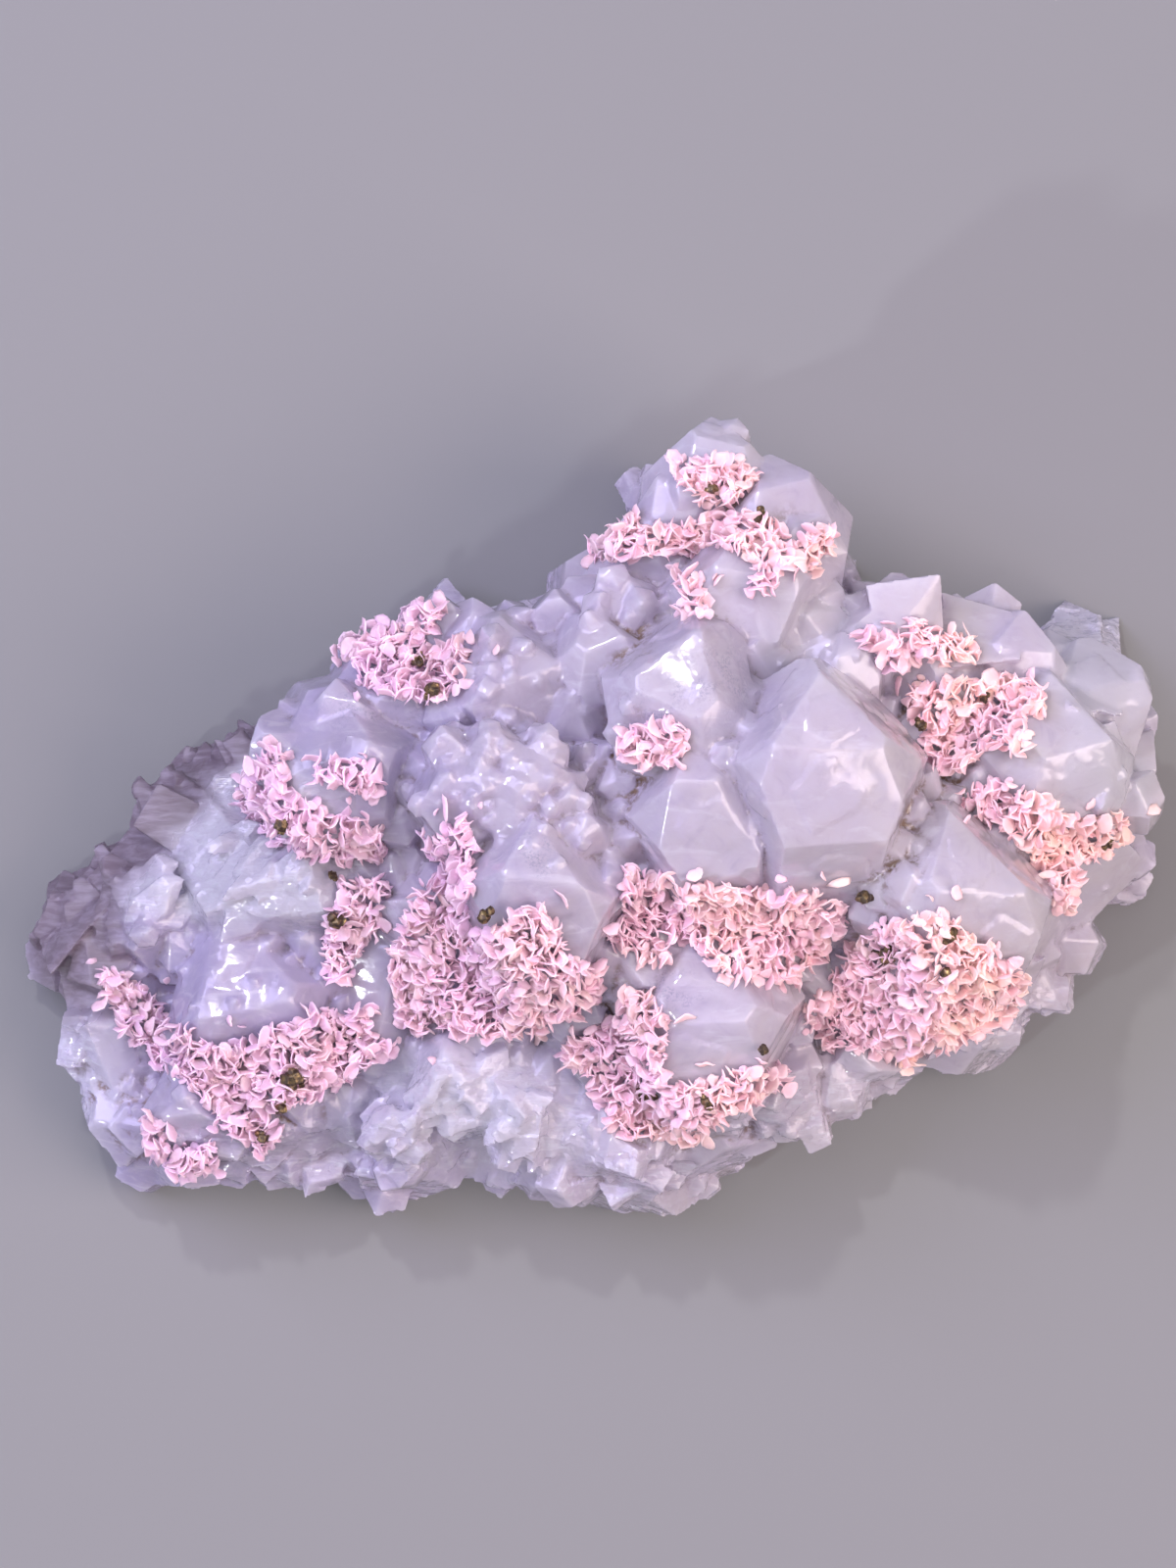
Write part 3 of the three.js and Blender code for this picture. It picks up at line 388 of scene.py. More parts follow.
# %% Buds and small points in their own places
for place, facing in landings(BUD_SPOTS, lowest=3):
    radius = chance.uniform(0.45, 1.15)
    axis = (facing * 0.6 + Vector((0, 0.25, 0.8)) + wobble(0.3)).normalized()
    length = radius * chance.uniform(1.8, 2.3)
    lumps.append(small_point(place - axis * radius * 1.5, axis, radius, length))
buds_made = len(lumps) - fillers_made
for place, facing in landings(POINT_SPOTS, lowest=2):
    radius = chance.uniform(0.6, 1.5)
    axis = (facing * 0.55 + Vector((0, 0.3, 0.7)) + wobble(0.45)).normalized()
    length = radius * chance.uniform(2.2, 2.9)
    lumps.append(small_point(place - axis * radius * 1.7, axis, radius, length))
print(buds_made, "buds and", len(lumps) - fillers_made - buds_made, "small points")

# %% Splinters, plates and the toothed edge of the break
DOWN_THE_BREAK = Vector((-0.72, -0.66, -0.2))
ACROSS_THE_TEETH = Vector((-0.5, 0.85, 0)).normalized()
TEETH_PER_STRETCH = 4
TOOTH_INSET = 0.5

before = len(lumps)
for place, facing in landings(FRACTURE_SPOTS):
    size = chance.uniform(0.5, 1.7)
    axis = (facing + UP * 0.4 + wobble(0.28)).normalized()
    lumps.append(shard(place - facing * size * 0.1, axis, size, chance.uniform(0.1, 0.3), DOWN_THE_BREAK))
for place, facing in landings(SHARD_SPOTS):
    size = chance.uniform(1.1, 2.8)
    axis = (facing + UP * 0.3 + wobble(0.5)).normalized()
    lumps.append(shard(place - facing * size * 0.15, axis, size, chance.uniform(0.12, 0.3)))
lumps += [plate(outline, lift) for outline, lift in PLATES]
for (x0, y0), (x1, y1) in zip(TOOTHED_EDGE, TOOTHED_EDGE[1:]):
    for k in range(TEETH_PER_STRETCH):
        x, y = x0 + (x1 - x0) * k / TEETH_PER_STRETCH, y0 + (y1 - y0) * k / TEETH_PER_STRETCH
        place, _ = drop_on(cluster_surface, x + TOOTH_INSET, y - TOOTH_INSET)
        if place is not None:
            axis = (Vector((-0.2, 0.3, 1)) + wobble(0.3)).normalized()
            lumps.append(shard(place + UP * 0.2, axis, chance.uniform(0.9, 1.5), 0.25, ACROSS_THE_TEETH))
print(len(lumps) - before, "splinters and plates")

# %% Growth steps on the large faces, and splinters all round the broken side
LARGE_FACE = 5
FACE_PER_STEP = 8
MOST_UPRIGHT_SIDE, MOST_HANGING_SIDE = 0.45, -0.9
SIDE_SHARDS = 190
BREAK_HEIGHT = 9
SHARE_ABOVE_BREAK = 0.08

triangle_corners = cluster_corners[cluster_triangles]
edge_a = triangle_corners[:, 1] - triangle_corners[:, 0]
edge_b = triangle_corners[:, 2] - triangle_corners[:, 0]
crossed = np.cross(edge_a, edge_b)
areas = np.linalg.norm(crossed, axis=1) / 2
facings = crossed / np.maximum(np.linalg.norm(crossed, axis=1), 1e-9)[:, None]
middles = triangle_corners.mean(axis=1)


def random_on(number):
    """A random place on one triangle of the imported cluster."""
    a, b = chance.random(), chance.random()
    if a + b > 1:
        a, b = 1 - a, 1 - b
    return Vector(triangle_corners[number, 0] + edge_a[number] * a + edge_b[number] * b)


before = len(lumps)
for number in np.nonzero((areas > LARGE_FACE) & (facings[:, 2] > 0.15))[0]:
    for _ in range(max(1, int(areas[number] / FACE_PER_STEP))):
        step = growth_step(random_on(number), Vector(facings[number]), chance.uniform(1.2, 3.2))
        lumps += [step] if step else []
steps_made = len(lumps) - before
is_side = (facings[:, 2] < MOST_UPRIGHT_SIDE) & (facings[:, 2] > MOST_HANGING_SIDE)
side_numbers = np.nonzero(is_side & (middles[:, 2] > 1.0))[0]
shares = np.where(middles[side_numbers, 2] < BREAK_HEIGHT, 1.0, SHARE_ABOVE_BREAK)
side_weights = (areas[side_numbers] * shares).tolist()
for number in chance.choices(side_numbers.tolist(), side_weights, k=SIDE_SHARDS):
    place, facing = random_on(number), Vector(facings[number])
    size = chance.uniform(1.2, 3.0)
    axis = (facing * 0.8 + UP * 0.5 + wobble(0.5)).normalized()
    lumps.append(shard(place - facing * size * 0.75, axis, size, chance.uniform(0.2, 0.45)))
print(steps_made, "growth steps and", SIDE_SHARDS, "splinters on the broken side")

# %% [markdown]
# Lumps and solid overlap freely here. A Boolean union of so many lumps would be slow and fragile,
# while a voxel remesh takes them all in one pass and rounds every edge by about one voxel, just as the
# real edges are worn. The remesh works on a copy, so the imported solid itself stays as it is.

# %% Melt everything into one skin
VOXEL = 0.21
SPARE = 0.8
WELD_DISTANCE = 0.0005

lowest, highest = cluster_corners.min(axis=0) - SPARE, cluster_corners.max(axis=0) + SPARE
kept_lumps = [corners for corners in lumps
              if np.all(np.array(corners)[:, :2] > lowest[:2]) and np.all(np.array(corners) < highest)]
print(len(kept_lumps), "of", len(lumps), "lumps stay within the packed box and a small margin")

welded = bmesh.new()
welded.from_mesh(cluster_mesh)
bmesh.ops.scale(welded, vec=(1 / MM, 1 / MM, 1 / MM), verts=welded.verts)
bmesh.ops.remove_doubles(welded, verts=welded.verts, dist=WELD_DISTANCE)
for corners in kept_lumps:
    add_hull(welded, [(c.x, c.y, max(c.z, BASE_LEVEL)) for c in corners])
rough_mesh = bpy.data.meshes.new("quartz_rough")
welded.to_mesh(rough_mesh)
welded.free()


def worked(mesh, kind, **settings):
    """A new mesh: the given one with a single modifier worked in."""
    rough = put_in_scene("quartz_rough", mesh)
    modifier = rough.modifiers.new(kind.lower(), kind)
    for name, value in settings.items():
        setattr(modifier, name, value)
    graph = bpy.context.evaluated_depsgraph_get()
    result = bpy.data.meshes.new_from_object(rough.evaluated_get(graph))
    bpy.data.objects.remove(rough)
    return result


skin = worked(rough_mesh, "REMESH", mode="VOXEL", voxel_size=VOXEL)
print("the skin has", len(skin.polygons), "faces")

# %% [markdown]
# ## Wear the surface
# Each part of the skin gets its own wear: crystal faces roll by a few hundredths of a millimetre, budded
# places are finely pitted as well, and the broken side and the splintered spots are chipped into small
# tilted flats. A displace modifier could push by a texture, but here the push depends on place, height
# and slope together, so plain arithmetic on the vertices says it most clearly. The flat underside,
# where the piece was cut, is left alone.

# %% Push the skin in and out
BREAK_TOP = 13
BREAK_FADE = 6
BASE_FADE = 1.2


def strongest(points, spots, softness=0.35):
    """The largest cover of any spot at each point."""
    return np.max([inside(points, spot[:4], softness) for spot in spots], axis=0)


def low_side(points, directions):
    """1 on the steep sides near the base, where the piece broke from its rock, and 0 higher up."""
    steep = np.clip((0.75 - directions[:, 2]) / 0.4, 0, 1)
    return np.clip((BREAK_TOP - points[:, 2]) / BREAK_FADE, 0, 1) * steep


where, facing = corners_mm(skin, unit=1), facings_of(skin)
broken = np.maximum(low_side(where, facing), strongest(where, SHARD_SPOTS) * 0.8)
budded = strongest(where, BUD_SPOTS)
push = 0.03 * rolling(where, 3.4, 11)
push += broken * 0.35 * chipped(where, 1.9, 0.4, 21)
push += budded * 0.05 * rolling(where, 0.8, 13)
above_base = np.clip(where[:, 2] / BASE_FADE, 0, 1)
where = where + facing * (push * above_base)[:, None]
where[:, 2] = np.where(where[:, 2] < 0.05, BASE_LEVEL, where[:, 2])
skin.vertices.foreach_set("co", where.ravel())
skin.update()
print("wear moves the skin by up to", round(float(np.abs(push).max()), 2), "mm")

# %% [markdown]
# The finish needs to know where the hollows and the ridges are, so that painted shade and dirt can
# collect in one and a painted highlight show on the other. A hollow shows up as the difference between the
# skin and a smoothed copy of it. It is measured here, while the vertices are evenly spaced, and looked up
# again by the nearest vertex after the skin is thinned out.

# %% Measure hollows and ridges
SMOOTHING_PASSES = 30
SMOOTHING = 0.6

edge_ends = np.zeros(len(skin.edges) * 2, np.int64)
skin.edges.foreach_get("vertices", edge_ends)
one_end, other_end = edge_ends[0::2], edge_ends[1::2]
neighbours = np.bincount(edge_ends, minlength=len(where))
smooth = where.copy()
for _ in range(SMOOTHING_PASSES):
    summed = np.stack([np.bincount(one_end, smooth[other_end, k], len(smooth)) +
                       np.bincount(other_end, smooth[one_end, k], len(smooth)) for k in range(3)], axis=1)
    smooth = (1 - SMOOTHING) * smooth + SMOOTHING * summed / neighbours[:, None]
hollow_depth = ((smooth - where) * facings_of(skin)).sum(axis=1)
hollow_finder = KDTree(len(where))
for number, place in enumerate(where.tolist()):
    hollow_finder.insert(place, number)
hollow_finder.balance()
print("hollows from", round(hollow_depth.min(), 2), "to", round(hollow_depth.max(), 2), "mm")

# %% Thin the skin out where it is smooth, and keep the one largest body
MOST_TRIANGLES = 196000
CRISP_ANGLE = 26

thinned = worked(skin, "DECIMATE", ratio=min(1.0, MOST_TRIANGLES / (2.0 * len(skin.polygons))))
whole = bmesh.new()
whole.from_mesh(thinned)
unseen, bodies = set(whole.verts), []
while unseen:
    front, body = [unseen.pop()], []
    while front:
        vert = front.pop()
        body.append(vert)
        for edge in vert.link_edges:
            other = edge.other_vert(vert)
            if other in unseen:
                unseen.remove(other)
                front.append(other)
    bodies.append(body)
bodies.sort(key=len)
for body in bodies[:-1]:
    bmesh.ops.delete(whole, geom=body, context="VERTS")
bmesh.ops.triangulate(whole, faces=whole.faces)
bmesh.ops.scale(whole, vec=(MM, MM, MM), verts=whole.verts)
quartz_mesh = bpy.data.meshes.new("quartz_cluster_skin")
whole.to_mesh(quartz_mesh)
whole.free()
quartz_mesh.shade_smooth()
quartz_mesh.set_sharp_from_angle(angle=math.radians(CRISP_ANGLE))
quartz = put_in_scene("quartz_cluster_skin", quartz_mesh)
print("quartz:", len(quartz_mesh.polygons), "triangles,", len(bodies) - 1, "loose crumbs removed")

# %% [markdown]
# The hollows, the brown stains, the clear, pale, speckled and broken places and the places of painted shade
# each become one number per vertex that the shader reads. They could be painted by hand, but a rule in
# millimetres stays in place when the mesh is made again.

# %% Mark hollows, kinds of stone, stains and painted shade
DEEPEST_HOLLOW = 0.3
SHADE_TOP = 16
SHADE_FADE = 4
STAIN_SPOTS = [(24.4, -1.5, 1.6, 4.0), (1.7, -13.8, 2.4, 1.6), (28.2, 3.2, 2.6, 1.4),
               (3.4, 6.4, 1.4, 5.0), (-14.5, 13.8, 1.8, 2.4), (11.6, 26.6, 1.8, 1.8),
               (28.0, 8.0, 2.2, 3.0), (-25.6, -23.8, 3.0, 1.6), (25.5, -11.0, 4.0, 3.0),
               (3.6, 14.4, 2.0, 1.2), (14.2, 25.0, 1.6, 2.0), (8, -25.5, 4, 1.6), (-40.5, -25.5, 3.0, 3.0)]

skin_points = corners_mm(quartz_mesh)
nearest = [hollow_finder.find(place)[1] for place in skin_points.tolist()]
below_shade_top = np.clip((SHADE_TOP - skin_points[:, 2]) / SHADE_FADE, 0, 1)
mark(quartz, "hollow", np.clip(hollow_depth[nearest] / DEEPEST_HOLLOW, -1, 1) * 0.5 + 0.5)
mark(quartz, "clear", strongest(skin_points, CLEAR_SPOTS, 0.6))
# painted shade: the low places at the west end that are painted dark
mark(quartz, "painted_shade", strongest(skin_points, PAINTED_SHADE_SPOTS, 0.6) * below_shade_top)
mark(quartz, "stain", strongest(skin_points, STAIN_SPOTS, 0.9))
mark(quartz, "pale", strongest(skin_points, PALE_SPOTS, 0.6))
mark(quartz, "speckled", strongest(skin_points, SPECKLED_SPOTS, 0.8))
mark(quartz, "broken", np.maximum(low_side(skin_points, facings_of(quartz_mesh)),
                                  strongest(skin_points, SHARD_SPOTS + FRACTURE_SPOTS)))
print("seven marks on", len(skin_points), "vertices")

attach(quartz, BODY)
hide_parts("quartz_cluster")

# %% [markdown]
# ## The rhodochrosite blades
# Each crust is a thicket of thin, curved, lens-shaped blades, about one to two millimetres across. Most
# of them stand on edge, and many lie side by side in stacks like leaves of a book. A scatter modifier
# with instances would be quick, but instances do not export, and one flat card would show as a card
# from the side. So every blade is a closed lens, bent like a petal, written straight into one mesh for
# each crust.

# %% One blade: rings of corners on each side, closed at the rim
RIM = 10
RINGS = (0.5, 0.84)
PHASE_RANGE = 6.3
OUTLINE_WAVES = ((2, 0.05, 0.2), (3, 0, 0.1), (5, 0, 0.09))


def blade_pattern():
    """Corner rows (x, y, side) of a unit blade, its triangles, and how near each corner is to the rim."""
    rows, near_rim = [], []
    for side in (1, -1):
        rows.append((0, 0, side))
        near_rim.append(0)
        for ring in RINGS:
            rows += [(ring * math.cos(k * math.tau / RIM), ring * math.sin(k * math.tau / RIM), side)
                     for k in range(RIM)]
            near_rim += [ring] * RIM
    rows += [(math.cos(k * math.tau / RIM), math.sin(k * math.tau / RIM), 0) for k in range(RIM)]
    near_rim += [1] * RIM
    one_side = 1 + RIM * len(RINGS)
    rim = 2 * one_side
    faces = []
    for start, flip in ((0, False), (one_side, True)):
        rings = [start + 1, start + 1 + RIM, rim]
        for k in range(RIM):
            after = (k + 1) % RIM
            made = [(start, rings[0] + k, rings[0] + after)]
            for inner, outer in zip(rings, rings[1:]):
                made += [(inner + k, outer + k, outer + after), (inner + k, outer + after, inner + after)]
            faces += [tuple(reversed(face)) if flip else face for face in made]
    return np.array(rows, float), np.array(faces), np.array(near_rim)


pattern, pattern_faces, pattern_rim = blade_pattern()
print("one blade has", len(pattern_faces), "triangles")


def make_blade(place, up, facing_way, radius, thickness, random_source):
    """Corners of one blade: its rim nearest the rock at `place`, standing along `up`."""
    pick = random_source.uniform
    angle = np.arctan2(pattern[:, 1], pattern[:, 0])
    away = np.hypot(pattern[:, 0], pattern[:, 1])
    outline = np.ones(len(pattern))
    for waves, least, most in OUTLINE_WAVES:
        outline += pick(least, most) * np.cos(waves * angle + pick(0, PHASE_RANGE))
    outline[pattern_rim == 1] *= [pick(0.82, 1.12) for _ in range(RIM)]
    x, y = pattern[:, 0] * outline * pick(0.85, 1.25), pattern[:, 1] * outline * pick(0.6, 0.95)
    bend = pick(-0.4, 0.4) * x * x + pick(-0.3, 0.3) * y * y + pick(-0.2, 0.2) * x * y
    bend += pick(0.03, 0.14) * np.sin(pick(2.4, 4.2) * x + pick(0, PHASE_RANGE))
    half = thickness / 2 * np.sqrt(np.clip(1 - (away * 0.97) ** 2, 0, 1)) / radius
    z = bend + pattern[:, 2] * half
    tall = np.array(up)
    normal = np.array(facing_way)
    normal = normal - tall * normal.dot(tall)
    normal /= np.linalg.norm(normal)
    wide = np.cross(tall, normal)
    return np.array(place) + radius * (np.outer(x, wide) + np.outer(y, tall) + np.outer(z, normal))


# %% Where the blades of one crust stand, and how
quartz_surface = BVHTree.FromPolygons(skin_points.tolist(), triangles_of(quartz_mesh).tolist())
BLADE_GAP = 0.36
BED_GAP = 0.75
STRAY_SHARE = 0.09
STRAY_REACH = 2.6
BLADE_REACH = (0.34, 0.88)
BLADE_THICKNESS = (0.12, 0.24)
FLAT_SHARE = 0.12
STACKED_SHARE = 0.5
TRIES_PER_PLACE = 7
SPARE_TRIES = 40


def crust_places(node, gap, random_source):
    """Random places on top of a packed crust, no two closer than `gap` in plan."""
    corners, faces = corners_mm(node.data), triangles_of(node.data)
    around = corners[faces]
    cross = np.cross(around[:, 1] - around[:, 0], around[:, 2] - around[:, 0])
    top = cross[:, 2] > 1e-6
    around, cross = around[top], cross[top]
    size = np.linalg.norm(cross, axis=1)
    tries = int(size.sum() / 2 / gap ** 2 * TRIES_PER_PLACE) + SPARE_TRIES
    kept, cells = [], {}
    for number in random_source.choices(range(len(size)), size.tolist(), k=tries):
        a, b = random_source.random(), random_source.random()
        if a + b > 1:
            a, b = 1 - a, 1 - b
        place = around[number, 0] + (around[number, 1] - around[number, 0]) * a + (
            around[number, 2] - around[number, 0]) * b
        column, row = int(place[0] // gap), int(place[1] // gap)
        near = [p for i, j in product((-1, 0, 1), repeat=2) for p in cells.get((column + i, row + j), [])]
        if all(math.hypot(p[0] - place[0], p[1] - place[1]) > gap for p in near):
            cells.setdefault((column, row), []).append(place)
            kept.append(place)
    return kept, size.sum() / 2


def thicket_blade(place, up, random_source, flat_share):
    """One blade of a thicket: mostly on edge, often beside a near neighbour, now and then lying open."""
    pick = random_source.uniform
    side, other = axes_about(up)
    swirl = 2.6 * math.sin(place.x * 0.9 + place.y * 0.5) + 2.2 * math.sin(place.y * 1.1 - place.x * 0.35)
    turn = swirl + pick(-0.5, 0.5) if random_source.random() < STACKED_SHARE else pick(0, math.tau)
    out = side * math.cos(turn) + other * math.sin(turn)
    along = up.cross(out)
    lean = pick(-0.6, 0.6) if random_source.random() > flat_share else pick(0.9, 1.4)
    faces_to = (out * math.cos(lean) + up * math.sin(lean)).normalized()
    stand = (up * math.cos(lean) - out * math.sin(lean) + along * pick(-0.5, 0.5)).normalized()
    radius = pick(*BLADE_REACH)
    return place + stand * radius * 0.55, stand, faces_to, radius


def blades_object(name, blades, random_source):
    """One mesh of many blades, with a rim mark and a tone mark for the finish."""
    corners = np.concatenate([make_blade(*blade, random_source.uniform(*BLADE_THICKNESS), random_source)
                              for blade in blades])
    steps = np.arange(len(blades)) * len(pattern)
    faces = (pattern_faces[None] + steps[:, None, None]).reshape(-1, 3)
    piece = object_from(name, corners, faces)
    piece.data.shade_smooth()
    mark(piece, "rim", np.tile(pattern_rim, len(blades)))
    mark(piece, "tone", np.repeat([random_source.random() for _ in blades], len(pattern)))
    return piece


# %% Grow every crust: a thicket of blades, a bed of flat ones under it, and a few strays around it
FIRST_CRUST_SEED = 900
BED_FLAT_SHARE, STRAY_FLAT_SHARE = 0.85, 0.3
THICKET_LIFT, BED_LIFT, STRAY_LIFT = 1.3, 0.3, 0.0
LOOK_FROM = 4
STRAY_DROP = 2.2
STRAY_SLOPE = 0.35

blade_pieces, blades_made = [], 0
for number, name in enumerate(crust_names):
    source = random.Random(FIRST_CRUST_SEED + number)
    places, area = crust_places(nodes[name], BLADE_GAP, source)
    strays = []
    for place in places:
        if source.random() < STRAY_SHARE:
            aside = [source.uniform(-1, 1) * STRAY_REACH, source.uniform(-1, 1) * STRAY_REACH, 1.0]
            strays.append(place + np.array(aside))
    bed, _ = crust_places(nodes[name], BED_GAP, source)
    feet = [(*place, FLAT_SHARE, THICKET_LIFT) for place in places]
    feet += [(*place, BED_FLAT_SHARE, BED_LIFT) for place in bed]
    feet += [(*place, STRAY_FLAT_SHARE, STRAY_LIFT) for place in strays]
    blades = []
    for x, y, z, flat_share, highest_lift in feet:
        landed, facing_up, _, _ = quartz_surface.ray_cast(Vector((x, y, z + LOOK_FROM)), DOWN)
        if landed is None:
            continue
        if highest_lift == STRAY_LIFT and (abs(landed.z - z) > STRAY_DROP or facing_up.z < STRAY_SLOPE):
            continue
        up = (facing_up * 0.7 + UP).normalized()
        lift = source.random() * max(0.0, min(highest_lift, z - landed.z))
        blades.append(thicket_blade(landed + up * lift, up, source, flat_share))
    piece = blades_object("blades_" + name.split("_", 1)[1], blades, source)
    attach(piece, BODY)
    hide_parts(name)
    blade_pieces.append(piece)
    blades_made += len(blades)
    print(f"{piece.name}: {len(blades)} blades on {area:.0f} mm2")
print(blades_made, "blades in all")

# %% [markdown]
# ## The pyrite grains
# Pyrite grows as cubes and as twelve-faced pyritohedra, and here each dark speck is a few of them grown
# through each other. They could be plain cubes, but real ones are never quite square or clean, so each
# is a hull of slightly moved corners with its edges bevelled.

# %% Grow the grains
FIRST_GRAIN_SEED = 3100
FACE_BEVEL = 0.035
SAME_FACE_ANGLE = 0.09
CORNER_JITTER = 0.07


def pyrite_corners(size, random_source):
    """Corners of a cube with roof edges, part way between a cube and a pyritohedron."""
    roof = random_source.uniform(0.12, 0.5)
    corners = [Vector(c) for c in product((-1, 1), repeat=3)]
    for axis in range(3):
        for a, b in product((-1, 1), repeat=2):
            ridge = [0, 0, 0]
            ridge[axis] = a * (1 + roof)
            ridge[(axis + 1) % 3] = b * (1 - roof)
            corners.append(Vector(ridge))
    jitter = [Vector([random_source.uniform(-CORNER_JITTER, CORNER_JITTER) for _ in range(3)])
              for _ in corners]
    return [(corner + move) * size for corner, move in zip(corners, jitter)]


grain_pieces = []
for number, name in enumerate(grain_names):
    source = random.Random(FIRST_GRAIN_SEED + number)
    lowest, highest = (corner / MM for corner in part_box(name))
    middle, reach = (lowest + highest) / 2, (highest - lowest) / 2
    build = bmesh.new()
    for k in range(source.randint(4, 7)):
        share, stray = (0.5, 0) if k == 0 else (source.uniform(0.18, 0.42), 0.8)
        size = max(reach.x, reach.y) * share
        x = middle.x + source.uniform(-1, 1) * reach.x * stray
        y = middle.y + source.uniform(-1, 1) * reach.y * stray
        landed, _ = drop_on(quartz_surface, x, y)
        height = middle.z + source.uniform(-0.4, 0.2) * reach.z
        if landed is not None:
            height = min(max(height, landed.z + size * 0.4), landed.z + 1.5)
        spin = Euler([source.uniform(0, math.tau) for _ in range(3)]).to_matrix()
        add_hull(build, [spin @ c + Vector((x, y, height)) for c in pyrite_corners(size, source)])
    bmesh.ops.dissolve_limit(build, angle_limit=SAME_FACE_ANGLE, verts=build.verts, edges=build.edges)
    bmesh.ops.bevel(build, geom=build.edges[:], offset=FACE_BEVEL, segments=1, affect="EDGES",
                    clamp_overlap=True)
    bmesh.ops.triangulate(build, faces=build.faces)
    bmesh.ops.scale(build, vec=(MM, MM, MM), verts=build.verts)
    mesh = bpy.data.meshes.new("grains_" + name.split("_", 1)[1])
    build.to_mesh(mesh)
    build.free()
    piece = put_in_scene(mesh.name, mesh)
    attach(piece, BODY)
    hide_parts(name)
    grain_pieces.append(piece)
print(len(grain_pieces), "groups of pyrite grains")

# %% [markdown]
# ## Writing finishes as expressions
# A finish is a graph of nodes, but most of it is arithmetic, and arithmetic reads best as arithmetic.
# The small class below wraps the output of a node, so `1 - mask` or `noise * 0.4 + 0.2` adds the Math
# nodes by itself. Everything else comes from one method that takes a node's type, its settings and
# what goes into its sockets.

# %% A wrapped socket


class Wire:
    """The output of a node, which can be added, multiplied and so on."""

    def __init__(self, finish, socket):
        self.finish, self.socket = finish, socket

    def sum_of(self, how, first, second=0.0, clamp=False):
        settings = {"operation": how, "use_clamp": clamp}
        return self.finish.node("ShaderNodeMath", settings, {0: first, 1: second})

    def __add__(self, other):
        return self.sum_of("ADD", self, other)

    __radd__ = __add__

    def __sub__(self, other):
        return self.sum_of("SUBTRACT", self, other)

    def __rsub__(self, other):
        return self.sum_of("SUBTRACT", other, self)

    def __mul__(self, other):
        return self.sum_of("MULTIPLY", self, other)

    __rmul__ = __mul__

    def __pow__(self, other):
        return self.sum_of("POWER", self, other)

    def clipped(self):
        return self.sum_of("ADD", self, 0.0, clamp=True)

    def ramp(self, low, high):
        """0 at `low`, 1 at `high`, straight between and flat beyond. `high` may be the smaller."""
        return self.sum_of("MULTIPLY", self - low, 1 / (high - low), clamp=True)


# %% A finish


class Finish:
    """A material whose nodes are made one line at a time."""

    def __init__(self, name):
        self.material = bpy.data.materials.new(name)
        self.material.use_nodes = True
        self.tree = self.material.node_tree
        self.tree.nodes.clear()
        self.place = self.node("ShaderNodeTexCoord", out="Object")

    def node(self, kind, settings=None, inputs=None, out=0):
        made = self.tree.nodes.new(kind)
        for name, value in (settings or {}).items():
            setattr(made, name, value)
        for name, value in (inputs or {}).items():
            if isinstance(value, Wire):
                self.tree.links.new(value.socket, made.inputs[name])
            else:
                made.inputs[name].default_value = value
        return Wire(self, made.outputs[out])

    def noise(self, size_mm, detail=2.0, rough=0.5, twist=0.0, place=None):
        """Noise whose lumps are about size_mm across."""
        return self.node("ShaderNodeTexNoise", {}, {
            "Vector": place or self.place, "Scale": 1 / (size_mm * MM), "Detail": detail,
            "Roughness": rough, "Distortion": twist})

    def mark(self, name):
        """A number stored on the mesh."""
        return self.node("ShaderNodeAttribute", {"attribute_name": name}, out="Fac")

    def mix(self, amount, first, second):
        """One colour over another."""
        return self.node("ShaderNodeMix", {"data_type": "RGBA"}, {0: amount, 6: first, 7: second}, out=2)

    def eastward(self, start_mm, end_mm):
        """0 west of one line across the piece, 1 east of another."""
        split = self.node("ShaderNodeSeparateXYZ", {}, {"Vector": self.place}, out="X")
        return split.ramp(start_mm * MM, end_mm * MM)

    def bump(self, height, distance_mm, strength=1.0, normal=None):
        inputs = {"Height": height, "Distance": distance_mm * MM, "Strength": strength}
        if normal is not None:
            inputs["Normal"] = normal
        return self.node("ShaderNodeBump", {}, inputs, out="Normal")

    def finish_with(self, shader, *pieces):
        """Close the graph with its shader, and put the finish on its pieces."""
        end = self.tree.nodes.new("ShaderNodeOutputMaterial")
        self.tree.links.new(shader.socket, end.inputs["Surface"])
        for piece in pieces:
            piece.data.materials.clear()
            piece.data.materials.append(self.material)


def rgb(red, green, blue):
    return (red, green, blue, 1.0)


# %% [markdown]
# ## Milky quartz
# Milky quartz is clear stone full of tiny bubbles: light goes in, scatters for a few millimetres and
# comes out soft. Volume scattering would do it exactly but very slowly, so subsurface scattering stands
# for the milk and a share of plain transmission for the clear stone between. Painted light makes the stone
# cooler and darker at its west end and paler in the east. Veils and wisps inside are painted as slow colour
# changes, the ridges get a painted highlight, the hollows get painted shade and brown specks of dirt, and
# painted shade makes a few low places at the west end dark, streaked and duller.

# %% The marks and patterns that the stone carries
stone = Finish("milky_quartz")
hollow_mark, clear_mark, speckled_mark = stone.mark("hollow"), stone.mark("clear"), stone.mark("speckled")
painted_shade_mark, stain_mark, broken_mark = stone.mark("painted_shade"), stone.mark("stain"), stone.mark("broken")
pale_mark = stone.mark("pale")
clouds = stone.noise(9, 3.0, 0.55, 0.6)
veils = stone.noise(2.6, 5.0, 0.62, 1.4)
drawn_out = stone.node("ShaderNodeMapping", {}, {"Vector": stone.place, "Rotation": (0.3, 0.2, 0.35),
                                                 "Scale": (0.3, 1.0, 0.7)})
wisps = stone.noise(1.3, 4.0, 0.6, 0.8, drawn_out)
down_break = stone.node("ShaderNodeMapping", {}, {"Vector": stone.place, "Rotation": (0, 0, -0.74),
                                                 "Scale": (0.16, 1.0, 0.5)})
streaks = stone.noise(0.55, 3.0, 0.6, 0.5, down_break)
specks = stone.noise(0.55, 2.0, 0.6)
dots = stone.noise(0.22, 3.0, 0.7)
